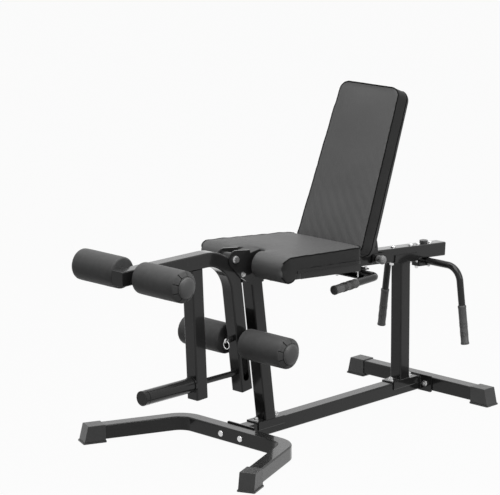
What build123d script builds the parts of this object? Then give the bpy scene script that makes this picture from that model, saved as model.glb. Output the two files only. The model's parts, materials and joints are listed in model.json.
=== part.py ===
from build123d import *
import os
from math import asin, cos, degrees, radians, sin, tan

# Adjustable weight bench with a leg developer. Millimetres, +Z up, floor at Z = 0.
# The sitter faces -X, so -Y is the sitter's left hand and +Y the right hand.
# The origin is on the floor, under the middle of the bench.

# ---------------------------------------------------------------- stock sizes
tube = 50.0                 # side of the square frame tube
tube_wall = 2.5
tube_corner = 5.0           # outside corner radius of the square tube
plate = 5.0                 # thickness of welded and bolted steel plates
rod_tube = 25.0             # outside diameter of the round handle tube
rod_wall = 2.0
bolt_size = 10.0            # frame bolts
small_bolt = 8.0            # clamp and bracket bolts
screw_size = 6.0            # screws that hold the boards
bolt_gap = 0.25             # radial room of a bolt in its hole
play = 0.4                  # side room between moving steel faces
running = 0.05              # radial room of a turning or sliding fit
touch = 0.3                 # room between curved faces that only meet at a stop
plug_lip = 3.0              # visible thickness of a plastic tube plug
plug_depth = 18.0

# ---------------------------------------------------------------- base
sole = 9.0                  # height of the base tubes above the floor
foot_sole = 5.0             # thickness of a foot's flat flange
foot_length = 84.0          # flange length along the tube
foot_width = 63.0
foot_wall = 3.0             # rubber over the tube
foot_toe = 18.0             # how far the flange reaches past the top of the boot
base_rail_length = 898.0    # between its two end plates
base_plate_height = 60.0
front_plate_width = 130.0
rear_plate_width = 150.0
stabilizer_bolt_spacing = 91.0
front_corner_y = 245.6      # where the straight middle and a splayed leg would cross
splay = 22.7                # angle of a front leg to the X axis
front_bend = 75.0           # centre line radius of the front stabilizer's bends
front_leg_length = 361.0    # from that crossing to the tube's end
rear_width = 634.0          # rear stabilizer tube

# ---------------------------------------------------------------- posts and upper rail
rear_end_gap = 61.0         # rear post's rear face to the base rail's rear end
front_post_offset = 92.0    # front post's front face behind the front end plate, at the rail
post_lean = 7.5             # front post leans forward at the top
front_post_top = 664.0      # height of its top end
rail_tilt = 4.47            # upper rail drops towards the rear
rail_height = 500.4         # underside of the upper rail over the rear post's middle
rail_rear = 212.0           # upper rail's rear end behind the rear post's middle
rail_bolt_rise = 11.0       # front bolt above the rail's centre line
saddle = 4.0                # thickness of the saddle channels at the posts
saddle_cheek = 25.0
saddle_length = 128.0
saddle_bolt_pitch = 96.0

# ---------------------------------------------------------------- leg developer
pivot_x = 869.5             # ahead of the rear post's middle
pivot_z = 652.5
pivot_bolt_size = 12.0
pivot_bush_wall = 3.0
lug_radius = 20.0
ear_radius = 30.0
ear_low = 552.0             # height of the ears' lower end at the front post
stop_angle = 23.0           # stop above the level of the bend's centre
stop_rubber = 16.0          # outside diameter of the stop's sleeve
stop_ear = 14.0             # ear radius round the stop bolt
arm_height = 669.0          # centre line of the horizontal run
arm_front = 1373.0          # tube's front end ahead of the rear post's middle
arm_bend = 142.0            # centre line radius
shin_lean = 7.27            # rear tube of the arm leans like the front post
shin_offset = 1.1           # shin centre line passes this far behind the pivot
shin_bottom = 190.0
upright_lean = 2.55
upright_x = 1027.0          # upright's centre line ahead of the rear post's middle ...
upright_x_height = 350.0    # ... at this height
upright_bottom = 203.0
upper_axle_x = 1307.0
lower_axle_z = 359.0
slot_travel = 125.0         # how far the lower rollers move down
carriage_gap = 0.1
carriage_step = 25.0        # pitch of the adjusting holes
pin_rise = 17.0             # adjusting pin above the lower axle at rest
pull_pin_size = 10.0
pull_ring = 13.0            # centre line radius of the pull ring
ring_wire = 3.0
sleeve_size = 50.0          # weight sleeve, outside
sleeve_wall = 3.0
sleeve_height = 251.0
sleeve_front = 1273.0       # free end ahead of the rear post's middle
sleeve_groove = 2.0
collar_rim = 3.5
collar_length = 7.0
brace_size = 20.0

# ---------------------------------------------------------------- rollers
axle_size = 25.0
foam_size = 100.0
foam_length = 193.0
foam_inner_y = 47.0
hub_wall = 4.5
cap_size = 66.0
cap_dome = 6.0
axle_short = 4.0            # axle ends this far inside its roller
axle_collar = 5.0           # height of the welded collar that stops a roller
collar_room = 3.0           # collar's distance from the square tube

# ---------------------------------------------------------------- seat
seat_front = 822.0          # ahead of the rear post's middle
seat_rear = 399.0
seat_front_half = 195.0
seat_rear_half = 180.0
seat_thickness = 50.0
seat_roll = 92.0            # depth of the waterfall front roll
seat_roll_length = 116.0
seat_corner = 30.0
seat_notch_half = 47.0
seat_notch_depth = 85.0
seat_board_thick = 10.0
board_inset = 4.0           # boards stop this far inside the pads' outlines
seat_bar = 25.0             # square bars under the seat board
seat_bar_y = 163.0
seat_bar_front = 704.0      # ahead of the rear post's middle
seat_bar_rear = 407.0
seat_arm_inset = 40.0       # cross arms this far from the bars' ends
seat_screw_inset = 14.0

# ---------------------------------------------------------------- backrest
hinge_x = 315.0             # ahead of the rear post's middle
hinge_z = 560.0
hinge_bolt_size = 10.0
recline = 21.84             # rest angle from upright
back_range = 68.0           # further turn down to level
back_front = 86.9           # front face of the pad ahead of the hinge axis
back_low = 13.4             # lower end of the pad along the back, from the hinge
back_high = 608.0
back_low_half = 157.0
back_high_half = 131.0
back_pad_thick = 56.0
back_board_thick = 15.0
back_corner = 34.0
cheek_depth = 28.0
cheek_length = 540.0
flange_width = 40.0
cross_bar = 25.0
cross_bar_half = 105.0
bumper_bar_at = 450.0       # cross bar that lands on the bumper, along the back
top_bar_at = 530.0
back_screw_at = (70.0, 210.0, 350.0, 485.0)
sector_step = 17.0
sector_holes = 5
sector_rim = 16.0           # plate beyond the selector holes, both ways
sector_margin = 7.0         # degrees of plate past the first hole
selector_x = 175.0          # selector pin ahead of the rear post's middle
selector_size = 12.0
selector_travel = 10.0
knob_size = 32.0
bracket_foot = 30.0         # pin bracket's weld length on the rail
bracket_height = 34.0
bracket_foot_height = 22.0  # the weld's height, below the cheek of a level back

# ---------------------------------------------------------------- spring pins
barrel_wall = 2.5
barrel_room = 2.5           # bore round the pin for the spring
barrel_end = 3.0            # end wall and shoulder
barrel_spring = 5.5         # room for the pressed spring

# ---------------------------------------------------------------- handles
seat_handle_x = 262.0       # ahead of the rear post's middle
seat_handle_y = 122.0
seat_handle_reach = 251.0
seat_handle_end_y = 150.0
seat_handle_bend = 30.0
seat_grip_size = 33.0
seat_grip_length = 128.0
clamp_plate = 4.0
clamp_half = (28.0, 60.0)   # seat handle clamp, half sizes along X and Y
clamp_bolt_at = (19.0, 49.0)
rear_bar_x = 125.0          # behind the rear post's middle
rear_bar_corner_y = 165.6
rear_bar_bend = 58.0
rear_bar_splay = 7.1
rear_bar_drop = 275.0
rear_grip_size = 31.0
rear_grip_length = 142.0
rear_clamp_pitch = 66.0
rear_clamp_width = 38.0
rear_clamp_wrap = 9.0       # how deep the clamp block holds the tube
bumper_size = 30.0

# ---------------------------------------------------------------- derived places
# Along X the bench is laid out from the rear post's middle, then shifted so that the
# origin falls midway between the arm's front plug and the upper rail's rear plug.
half = tube / 2
inside = tube - 2 * tube_wall
tilt = radians(rail_tilt)
rail_tip = (rail_rear + plug_lip) * cos(tilt) + half * sin(tilt)
post_x = (arm_front + plug_lip - rail_tip) / 2

base_top = sole + tube
base_axis = sole + half
rear_plate_x = post_x + half + rear_end_gap
front_plate_x = rear_plate_x - base_rail_length - plate
front_tube_x = front_plate_x - half
rear_tube_x = rear_plate_x + plate + half
world_y = Vector(0, 1, 0)
world_z = Vector(0, 0, 1)

os.makedirs("parts", exist_ok=True)


def at(forward, height, y=0.0):
    """Point given by its distance ahead of the rear post's middle and its height."""
    return Vector(post_x - forward, y, height)


def up_along(angle):
    """Unit vector in the XZ plane, angle degrees from +Z towards +X."""
    return Vector(sin(radians(angle)), 0, cos(radians(angle)))


def across_of(up):
    """Unit vector square to one in the XZ plane, a quarter turn towards +X."""
    return Vector(up.Z, 0, -up.X)


def side_plane(origin, up=world_z):
    """Plane seen from -Y whose local Y is the given up direction."""
    return Plane(origin=origin, x_dir=across_of(up), z_dir=-world_y)


def end_plane(origin, normal):
    """Plane square to a direction, with the bench's width as its local X."""
    return Plane(origin=origin, x_dir=world_y, z_dir=normal)


def square_profile():
    """Section of the square tube, inside the sketch that calls it."""
    with BuildSketch(mode=Mode.PRIVATE) as section:
        RectangleRounded(tube, tube, tube_corner)
        RectangleRounded(inside, inside, tube_corner - tube_wall, mode=Mode.SUBTRACT)
    return section.sketch


def square_tube(start, end, wide=world_y, cuts=()):
    """Straight square tube. What lies on the +Z side of a cutting plane is cut off."""
    run = (end - start).normalized()
    extra = run * (tube if cuts else 0)
    with BuildPart() as body:
        with BuildSketch(Plane(origin=start - extra, x_dir=wide, z_dir=run)):
            add(square_profile())
        extrude(amount=(end - start + extra * 2).length)
        for cut in cuts:
            split(bisect_by=cut, keep=Keep.BOTTOM)
    return body.part


def ring(origin, normal, outer, inner, length):
    """Round tube or bush of the given radii."""
    with BuildPart() as body:
        with BuildSketch(Plane(origin=origin, z_dir=normal)):
            Circle(outer)
            Circle(inner, mode=Mode.SUBTRACT)
        extrude(amount=length)
    return body.part


def bent_rod(points, bend, outer, wall):
    """Round tube swept along straight runs joined by bends."""
    with BuildPart() as body:
        with BuildLine() as path:
            FilletPolyline(*points, radius=bend)
        with BuildSketch(Plane(origin=path.line @ 0, z_dir=path.line % 0)):
            Circle(outer / 2)
            Circle(outer / 2 - wall, mode=Mode.SUBTRACT)
        sweep(path=path.line)
    return body.part


def tube_plug(end, outward, lip_width=tube):
    """Plastic plug in a square tube's end, a chamfered lip outside and a body inside."""
    body_side = inside - 2 * running
    with BuildPart() as plug:
        with BuildSketch(end_plane(end, outward)):
            RectangleRounded(lip_width, tube, tube_corner)
        extrude(amount=plug_lip)
        chamfer(plug.faces().sort_by(Axis(end, outward))[-1].edges(), 1)
        with BuildSketch(end_plane(end, outward)):
            RectangleRounded(body_side, body_side, tube_corner - tube_wall)
        extrude(amount=-plug_depth)
    return plug.part


def through_bolt(size, grip, domed=False):
    """Bolt with washer and nut: head above the XY plane, shank down through the grip."""
    washer_radius, washer = size * 1.1, size * 0.18
    head_radius, head_height, nut_height = size * 0.9, size * 0.6, size * 0.8
    with BuildPart() as bolt:
        if domed:
            with BuildSketch():
                Circle(washer_radius)
            extrude(amount=head_height)
            fillet(bolt.faces().sort_by(Axis.Z)[-1].edges(), head_height * 0.8)
        else:
            with BuildSketch():
                Circle(washer_radius)
            extrude(amount=washer)
            with BuildSketch(Plane.XY.offset(washer)):
                RegularPolygon(head_radius, 6)
            extrude(amount=head_height)
        with BuildSketch():
            Circle(size / 2)
        extrude(amount=-(grip + washer + nut_height * 1.3))
        with BuildSketch(Plane.XY.offset(-grip)):
            Circle(washer_radius)
        extrude(amount=-washer)
        with BuildSketch(Plane.XY.offset(-grip - washer)):
            RegularPolygon(head_radius, 6)
        extrude(amount=-nut_height)
    return bolt.part


def wood_screw(length):
    """Pan head screw: head above the XY plane, shank below."""
    with BuildPart() as screw:
        with BuildSketch():
            Circle(screw_size)
        extrude(amount=screw_size / 2)
        fillet(screw.faces().sort_by(Axis.Z)[-1].edges(), screw_size / 3)
        with BuildSketch():
            Circle(screw_size / 2)
        extrude(amount=-length)
    return screw.part


def drill(seats, size, depth, room=bolt_gap):
    """Cylinders to take out below these seats for bolts of this size."""
    with BuildPart() as holes:
        for seat in seats:
            with BuildSketch(seat):
                Circle(size / 2 + room)
            extrude(amount=-depth)
    return holes.part


def repeat(solid, seats):
    """The same fastener at each seat, in one node."""
    with BuildPart() as group:
        with Locations(*seats):
            add(solid)
    return group.part


def finish(solid, name):
    """Name a node and write its file."""
    solid.label = name
    export_step(solid, f"parts/{name}.step")


# ---------------------------------------------------------------- front stabilizer
leg_dir = {side: Vector(-cos(radians(splay)), side * sin(radians(splay)), 0) for side in (-1, 1)}
corner = {side: Vector(front_tube_x, side * front_corner_y, base_axis) for side in (-1, 1)}
leg_end = {side: corner[side] + leg_dir[side] * front_leg_length for side in (-1, 1)}
bolt_ys = (-stabilizer_bolt_spacing / 2, stabilizer_bolt_spacing / 2)
front_bolt_seats = [end_plane((front_tube_x - half, y, base_axis), (-1, 0, 0)) for y in bolt_ys]
rear_bolt_seats = [end_plane((rear_tube_x + half, y, base_axis), (1, 0, 0)) for y in bolt_ys]
plate_grip = tube + plate

with BuildPart() as front_stabilizer:
    with BuildLine() as front_path:
        FilletPolyline(leg_end[-1], corner[-1], corner[1], leg_end[1], radius=front_bend)
    with BuildSketch(Plane(origin=leg_end[-1], x_dir=world_z, z_dir=-leg_dir[-1])):
        add(square_profile())
    sweep(path=front_path.line)
    add(drill(front_bolt_seats, bolt_size, plate_grip), mode=Mode.SUBTRACT)
finish(front_stabilizer.part, "front_stabilizer")

# ---------------------------------------------------------------- rear stabilizer
with BuildPart() as rear_stabilizer:
    rear_ends = [Vector(rear_tube_x, side * rear_width / 2, base_axis) for side in (-1, 1)]
    add(square_tube(rear_ends[0], rear_ends[1], wide=Vector(1, 0, 0)))
    add(drill(rear_bolt_seats, bolt_size, plate_grip), mode=Mode.SUBTRACT)
finish(rear_stabilizer.part, "rear_stabilizer")

finish(
    repeat(through_bolt(bolt_size, plate_grip, domed=True), front_bolt_seats + rear_bolt_seats),
    "stabilizer_bolts",
)

# ---------------------------------------------------------------- rubber feet


def rubber_foot(end, outward):
    """Boot over a tube's end: sloped toe, straight sides and a flat flange on the floor."""
    profile = Plane(origin=(end.X, end.Y, 0), x_dir=outward, z_dir=outward.cross(world_z))
    outer_half = half + foot_wall
    boot_top = base_top + foot_wall
    flange_front = foot_wall + foot_toe
    boot_rear = flange_front - foot_length + foot_wall
    with BuildPart() as boot:
        with BuildSketch(profile):
            Polygon(
                (boot_rear, 0), (flange_front - foot_wall, 0), (foot_wall, boot_top), (boot_rear, boot_top),
                align=None,
            )
        extrude(amount=outer_half, both=True)
        fillet(boot.faces().sort_by(Axis.Z)[-1].edges(), foot_wall * 0.9)
        with BuildSketch(Plane(origin=(end.X, end.Y, 0), x_dir=outward, z_dir=world_z)):
            with Locations((flange_front - foot_length / 2, 0)):
                RectangleRounded(foot_length, foot_width, tube_corner)
        extrude(amount=foot_sole)
        with BuildSketch(Plane(origin=end, x_dir=world_z, z_dir=outward)):
            RectangleRounded(tube, tube, tube_corner)
        extrude(amount=-foot_length, mode=Mode.SUBTRACT)
    return boot.part


with BuildPart() as rubber_feet:
    for side in (-1, 1):
        add(rubber_foot(leg_end[side], leg_dir[side]))
        add(rubber_foot(Vector(rear_tube_x, side * rear_width / 2, base_axis), world_y * side))
finish(rubber_feet.part, "rubber_feet")

# ---------------------------------------------------------------- lines of the posts and the upper rail
rail_dir = Vector(cos(tilt), 0, -sin(tilt))
rail_up = Vector(sin(tilt), 0, cos(tilt))
rail_origin = Vector(post_x, 0, rail_height) + rail_up * half
rail_end = rail_origin + rail_dir * rail_rear
post_up = up_along(-post_lean)
post_across = across_of(post_up)
front_post_x = front_plate_x + plate + front_post_offset + half / cos(radians(post_lean))
front_post_foot = Vector(front_post_x, 0, base_top) + post_up * (saddle / post_up.Z)


def rail_point(x, lift=0.0, y=0.0):
    """Point at this X on the upper rail's centre line, or lifted square to the rail."""
    start = rail_origin + rail_up * lift
    return start + rail_dir * ((x - start.X) / rail_dir.X) + world_y * y


def post_point(z, off=0.0):
    """Point at height z on the front post's centre line, moved off towards the rear."""
    return front_post_foot + post_up * ((z - front_post_foot.Z) / post_up.Z) + post_across * off


# ---------------------------------------------------------------- saddles at the posts
rear_post_foot = Vector(post_x, 0, base_top + saddle)
rail_seat = rail_origin - rail_up * half
saddle_places = (
    (rear_post_foot - world_z * saddle, Vector(1, 0, 0), world_z),
    (front_post_foot - world_z * saddle, Vector(1, 0, 0), world_z),
    (rail_seat, rail_dir, -rail_up),
)


def saddle_channel(middle, run, away):
    """Channel wrapped over a rail, its web on the rail's face and its cheeks down the sides."""
    inner = half + running
    outer = inner + saddle
    with BuildPart() as channel:
        with BuildSketch(Plane(origin=middle - run * saddle_length / 2, x_dir=away.cross(run), z_dir=run)):
            with Locations((0, (saddle - saddle_cheek) / 2)):
                Rectangle(2 * outer, saddle + saddle_cheek)
            fillet(vertices().sort_by(Axis(middle, away))[-2:], saddle)
            with Locations((0, -saddle_cheek / 2)):
                Rectangle(2 * inner, saddle_cheek, mode=Mode.SUBTRACT)
        extrude(amount=saddle_length)
        add(drill(saddle_seats(middle, run, away), bolt_size, 2 * saddle), mode=Mode.SUBTRACT)
    return channel.part


def saddle_seats(middle, run, away):
    """Bolt seats on the open face of a saddle's web, fore and aft of its post."""
    face = middle + away * saddle
    return [end_plane(face + run * (k * saddle_bolt_pitch), away) for k in (-0.5, 0.5)]


def far_seats(seats):
    """The same bolts seen from the far side of the rail."""
    return [end_plane(s.origin - s.z_dir * (saddle + tube), -s.z_dir) for s in seats]


base_seats = saddle_seats(*saddle_places[0]) + saddle_seats(*saddle_places[1])
upper_seats = saddle_seats(*saddle_places[2])
with BuildPart() as post_saddles:
    for place in saddle_places:
        add(saddle_channel(*place))
finish(post_saddles.part, "post_saddles")

finish(
    repeat(through_bolt(bolt_size, saddle + tube, domed=True), far_seats(base_seats + upper_seats)),
    "post_bolts",
)

# ---------------------------------------------------------------- base rail
rail_ends = [Vector(front_plate_x + plate, 0, base_axis), Vector(rear_plate_x, 0, base_axis)]
with BuildPart() as base_rail:
    add(square_tube(*rail_ends))
    add(drill(base_seats, bolt_size, saddle + tube + 1), mode=Mode.SUBTRACT)
finish(base_rail.part, "base_rail")

with BuildPart() as base_end_plates:
    plate_sizes = ((front_plate_x, front_plate_width), (rear_plate_x, rear_plate_width))
    for x, width in plate_sizes:
        with BuildSketch(end_plane((x, 0, base_axis), (1, 0, 0))):
            RectangleRounded(width, base_plate_height, tube_corner)
        extrude(amount=plate)
    add(drill(front_bolt_seats + rear_bolt_seats, bolt_size, plate_grip + 1), mode=Mode.SUBTRACT)
finish(base_end_plates.part, "base_end_plates")

# ---------------------------------------------------------------- posts
with BuildPart() as rear_post:
    under_rail = end_plane(rail_seat - rail_up * saddle, rail_up)
    add(square_tube(rear_post_foot, under_rail.origin, cuts=(under_rail, end_plane(rear_post_foot, -world_z))))
finish(rear_post.part, "rear_post")

front_post_head = post_point(front_post_top)
# where the upper rail's centre line meets the front post's rear face
to_face = (post_point(base_top, half) - rail_origin).dot(post_across)
rail_root = rail_origin + rail_dir * (to_face / rail_dir.dot(post_across))
rail_bolt_seat = end_plane(rail_root + post_up * rail_bolt_rise - post_across * tube, -post_across)
with BuildPart() as front_post:
    head_cut = end_plane(front_post_head, post_up)
    add(square_tube(front_post_foot, front_post_head, cuts=(head_cut, end_plane(front_post_foot, -world_z))))
    add(drill([rail_bolt_seat], small_bolt, tube + 1), mode=Mode.SUBTRACT)
finish(front_post.part, "front_post")

# ---------------------------------------------------------------- upper rail
hinge = at(hinge_x, hinge_z)
selector = rail_point(post_x - selector_x)
bar_bolt_xs = [post_x + rear_bar_x + k * rear_clamp_pitch for k in (-0.5, 0.5)]
bar_bolt_seats = [end_plane(rail_point(x, half), rail_up) for x in bar_bolt_xs]
rail_head_cut = end_plane(rail_root + post_across * plate, -post_across)
with BuildPart() as upper_rail:
    rail_cuts = (rail_head_cut, end_plane(rail_end, rail_dir))
    add(square_tube(rail_root, rail_end, cuts=rail_cuts))
    add(drill(far_seats(upper_seats), bolt_size, tube + 1), mode=Mode.SUBTRACT)
    add(drill(bar_bolt_seats, small_bolt, tube + 1), mode=Mode.SUBTRACT)
    add(drill([side_plane(hinge - world_y * half)], hinge_bolt_size, tube), mode=Mode.SUBTRACT)
    add(drill([side_plane(selector - world_y * half)], selector_size, half, running), mode=Mode.SUBTRACT)
    with BuildSketch(end_plane(rail_root, post_across)):
        RectangleRounded(tube - 1, tube - 1, tube_corner)
    extrude(amount=plate)
    add(drill([rail_bolt_seat], small_bolt, tube + 2 * plate), mode=Mode.SUBTRACT)
finish(upper_rail.part, "upper_rail")
finish(repeat(through_bolt(small_bolt, plate_grip, domed=True), [rail_bolt_seat]), "rail_front_bolt")

# ---------------------------------------------------------------- pivot bracket on the front post
pivot = at(pivot_x, pivot_z)
shin_down = -up_along(-shin_lean)
shin_rear = across_of(-shin_down)
arm_corner = pivot + shin_rear * shin_offset - shin_down * ((arm_height - pivot_z) / -shin_down.Z)
bend_turn = radians(90 - shin_lean)
bend_start = arm_corner - Vector(arm_bend * tan(bend_turn / 2), 0, 0)
bend_middle = bend_start - world_z * arm_bend
stop_out = Vector(cos(radians(stop_angle)), 0, sin(radians(stop_angle)))
stop_at = bend_middle + stop_out * (arm_bend + half + touch + stop_rubber / 2)
ear_inner = half + play
ear_outer = ear_inner + plate
ear_face = -world_y * ear_outer
pivot_seat = side_plane(pivot + ear_face)
stop_seat = side_plane(stop_at + ear_face)

with BuildPart() as pivot_bracket:
    with BuildSketch(side_plane((0, 0, 0)), mode=Mode.PRIVATE) as post_land:
        land_corners = [post_point(front_post_top, off) for off in (-half, half)]
        land_corners += [post_point(ear_low, off) for off in (half, -half)]
        Polygon(*[(p.X, p.Z) for p in land_corners], align=None)
    with BuildSketch(side_plane((0, 0, 0)), mode=Mode.PRIVATE) as ear_outline:
        with BuildLine():
            Polyline(*[(p.X, p.Z) for p in land_corners], close=True)
            CenterArc((pivot.X, pivot.Z), ear_radius, 0, 360)
            CenterArc((stop_at.X, stop_at.Z), stop_ear, 0, 360)
        make_hull()
        above_post = [front_post_head + post_across * off + post_up * rise
                      for off, rise in ((-half, 0), (tube, 0), (tube, tube), (-half, tube))]
        Polygon(*[(p.X, p.Z) for p in above_post], align=None, mode=Mode.SUBTRACT)
    for side in (-1, 1):
        with BuildSketch(side_plane(world_y * side * ear_inner)):
            add(ear_outline.sketch_local)
        extrude(amount=-side * plate)
        # land that closes the side room where the ear is welded to the post
        with BuildSketch(side_plane(world_y * side * half)):
            add(post_land.sketch_local)
        extrude(amount=-side * play)
    add(drill([pivot_seat], pivot_bolt_size, 2 * ear_outer), mode=Mode.SUBTRACT)
    add(drill([stop_seat], small_bolt, 2 * ear_outer), mode=Mode.SUBTRACT)
finish(pivot_bracket.part, "pivot_bracket")

with BuildPart() as frame_plugs:
    add(tube_plug(rail_end, rail_dir))
    add(tube_plug(front_post_head, post_up, 2 * ear_outer))
finish(frame_plugs.part, "frame_plugs")

finish(repeat(through_bolt(pivot_bolt_size, 2 * ear_outer), [pivot_seat]), "pivot_bolt")
finish(repeat(through_bolt(small_bolt, 2 * ear_outer), [stop_seat]), "stop_bolt")
finish(
    ring(stop_at - world_y * ear_inner, world_y, stop_rubber / 2, small_bolt / 2 + bolt_gap, 2 * ear_inner),
    "stop_sleeve",
)

# ---------------------------------------------------------------- leg developer arm
arm_nose = at(arm_front, arm_height)
upper_axle = at(upper_axle_x, arm_height)


def shin_point(z, off=0.0):
    """Point at height z on the shin tube's centre line, moved off across it to the rear."""
    return arm_corner + shin_down * ((arm_corner.Z - z) / -shin_down.Z) + shin_rear * off


shin_end = shin_point(shin_bottom)
lower_axle = shin_point(lower_axle_z)
pull_pin_at = lower_axle - shin_down * pin_rise
pull_pin_out = -shin_rear
axle_radius = axle_size / 2
pull_pin_seat = end_plane(pull_pin_at + pull_pin_out * half, pull_pin_out)
with BuildPart() as leg_arm:
    with BuildLine() as arm_path:
        FilletPolyline(arm_nose, arm_corner, shin_end, radius=arm_bend)
    with BuildSketch(end_plane(arm_nose, (1, 0, 0))):
        add(square_profile())
    sweep(path=arm_path.line)
    # slots through both side walls for the lower roller axle
    slot_middle = lower_axle + shin_down * (slot_travel / 2)
    slot_radius = axle_radius + play
    with BuildSketch(side_plane(slot_middle, -shin_down)):
        SlotOverall(slot_travel + 2 * slot_radius, 2 * slot_radius, rotation=90)
    extrude(amount=tube, both=True, mode=Mode.SUBTRACT)
    add(drill([pull_pin_seat], pull_pin_size, half, running), mode=Mode.SUBTRACT)
    add(drill([side_plane(upper_axle - world_y * half)], axle_size, tube, running), mode=Mode.SUBTRACT)
finish(leg_arm.part, "leg_arm")

bush_radius = pivot_bolt_size / 2 + pivot_bush_wall
lug_out = (pivot - bend_middle).normalized()
lug_foot = bend_middle + lug_out * arm_bend
with BuildPart() as pivot_lug:
    with BuildSketch(side_plane((0, 0, 0))):
        with Locations((pivot.X, pivot.Z)):
            Circle(lug_radius)
        lug_side = across_of(lug_out) * lug_radius
        lug_corners = (lug_foot - lug_side, lug_foot + lug_side, pivot + lug_side, pivot - lug_side)
        Polygon(*[(p.X, p.Z) for p in lug_corners], align=None)
        with Locations((bend_middle.X, bend_middle.Z)):
            Circle(arm_bend + half, mode=Mode.SUBTRACT)
        with Locations((pivot.X, pivot.Z)):
            Circle(bush_radius, mode=Mode.SUBTRACT)
    extrude(amount=half, both=True)
finish(pivot_lug.part, "pivot_lug")
bush_half = half + play / 2
finish(
    ring(pivot - world_y * bush_half, world_y, bush_radius, pivot_bolt_size / 2 + running, 2 * bush_half),
    "pivot_bush",
)

upright_down = -up_along(-upright_lean)
upright_rear = across_of(-upright_down)
upright_middle = at(upright_x, upright_x_height)


def upright_point(z, off=0.0):
    """Point at height z on the upright's centre line, moved off across it to the rear."""
    return upright_middle + upright_down * ((upright_x_height - z) / -upright_down.Z) + upright_rear * off


upright_end = upright_point(upright_bottom)
with BuildPart() as arm_upright:
    upright_top = upright_point(arm_height - half)
    upright_cuts = (end_plane(upright_top, world_z), end_plane(upright_end, upright_down))
    add(square_tube(upright_top, upright_end, cuts=upright_cuts))
finish(arm_upright.part, "arm_upright")

# ---------------------------------------------------------------- weight sleeve and brace
sleeve_tip = at(sleeve_front, sleeve_height)
sleeve_seat = upright_point(sleeve_height, -half)
sleeve_radius = sleeve_size / 2
rearwards = Vector(1, 0, 0)
with BuildPart() as weight_sleeve:
    sleeve_reach = sleeve_seat.X - sleeve_tip.X
    add(ring(sleeve_tip, rearwards, sleeve_radius, sleeve_radius - sleeve_wall, sleeve_reach + sleeve_radius))
    collar_start = Vector(sleeve_seat.X - collar_length, 0, sleeve_height)
    add(ring(collar_start, rearwards, sleeve_radius + collar_rim, sleeve_radius - sleeve_wall, half))
    split(bisect_by=end_plane(sleeve_seat, upright_rear), keep=Keep.BOTTOM)
    groove_at = sleeve_tip + rearwards * (plug_depth - 2 * sleeve_groove)
    add(ring(groove_at, rearwards, sleeve_radius, sleeve_radius - 1, sleeve_groove), mode=Mode.SUBTRACT)
finish(weight_sleeve.part, "weight_sleeve")

with BuildPart() as arm_brace:
    with BuildSketch(end_plane(upright_point(sleeve_height), rearwards)):
        Circle(brace_size / 2)
    extrude(amount=shin_point(sleeve_height).X - upright_point(sleeve_height).X)
    split(bisect_by=end_plane(upright_point(sleeve_height, half), -upright_rear), keep=Keep.BOTTOM)
    split(bisect_by=end_plane(shin_point(sleeve_height, -half), shin_rear), keep=Keep.BOTTOM)
finish(arm_brace.part, "arm_brace")

with BuildPart() as sleeve_plug:
    with BuildSketch(end_plane(sleeve_tip, -rearwards)):
        Circle(sleeve_radius)
    extrude(amount=plug_lip)
    chamfer(sleeve_plug.faces().sort_by(Axis.X)[0].edges(), 1)
    with BuildSketch(end_plane(sleeve_tip, rearwards)):
        Circle(sleeve_radius - sleeve_wall - running)
    extrude(amount=plug_depth)

with BuildPart() as arm_plugs:
    add(tube_plug(arm_nose, -rearwards))
    add(tube_plug(upright_end, upright_down))
    add(tube_plug(shin_end, shin_down))
    add(sleeve_plug.part)
finish(arm_plugs.part, "arm_plugs")

# ---------------------------------------------------------------- roller axles
foam_outer_y = foam_inner_y + foam_length
collar_reach = foam_inner_y - running - half - collar_room


def roller_axle(middle):
    """Axle tube with a welded collar inside each roller."""
    reach = foam_outer_y - axle_short
    with BuildPart() as axle:
        add(ring(middle - world_y * reach, world_y, axle_radius, axle_radius - rod_wall, 2 * reach))
        for side in (-1, 1):
            face = middle + world_y * (side * (half + collar_room))
            add(ring(face, world_y * side, axle_radius + axle_collar, axle_radius - rod_wall, collar_reach))
    return axle.part


finish(roller_axle(upper_axle), "upper_roller_axle")
finish(roller_axle(lower_axle), "lower_roller_axle")

# ---------------------------------------------------------------- carriage inside the shin tube
slider_side = inside - 2 * carriage_gap
slider_core = slider_side - 2 * tube_wall
slider_low = lower_axle + shin_down * slider_side * 0.6
slider_high = pull_pin_at - shin_down * (slot_travel + pull_pin_size * 2)
with BuildPart() as roller_carriage:
    with BuildSketch(end_plane(slider_low, -shin_down)):
        RectangleRounded(slider_side, slider_side, tube_corner - tube_wall)
        RectangleRounded(slider_core, slider_core, 1, mode=Mode.SUBTRACT)
    extrude(amount=(slider_high - slider_low).length)
    add(drill([side_plane(lower_axle - world_y * half)], axle_size, tube, running), mode=Mode.SUBTRACT)
    for k in range(int(slot_travel // carriage_step) + 1):
        hole = pull_pin_at - shin_down * (carriage_step * k) + pull_pin_out * half
        add(drill([end_plane(hole, pull_pin_out)], pull_pin_size, half, running), mode=Mode.SUBTRACT)
finish(roller_carriage.part, "roller_carriage")

# ---------------------------------------------------------------- spring pins


def pin_barrel(seat, size, travel):
    """Housing of a spring pin: a cup on its seat with an end wall that guides the pin."""
    bore = size / 2 + barrel_room
    length = 2 * barrel_end + barrel_spring + travel
    with BuildPart() as barrel:
        with BuildSketch(seat):
            Circle(bore + barrel_wall)
        extrude(amount=length)
        with BuildSketch(seat):
            Circle(bore)
        extrude(amount=length - barrel_end, mode=Mode.SUBTRACT)
        with BuildSketch(seat):
            Circle(size / 2 + running)
        extrude(amount=length, mode=Mode.SUBTRACT)
    return barrel.part


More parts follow.
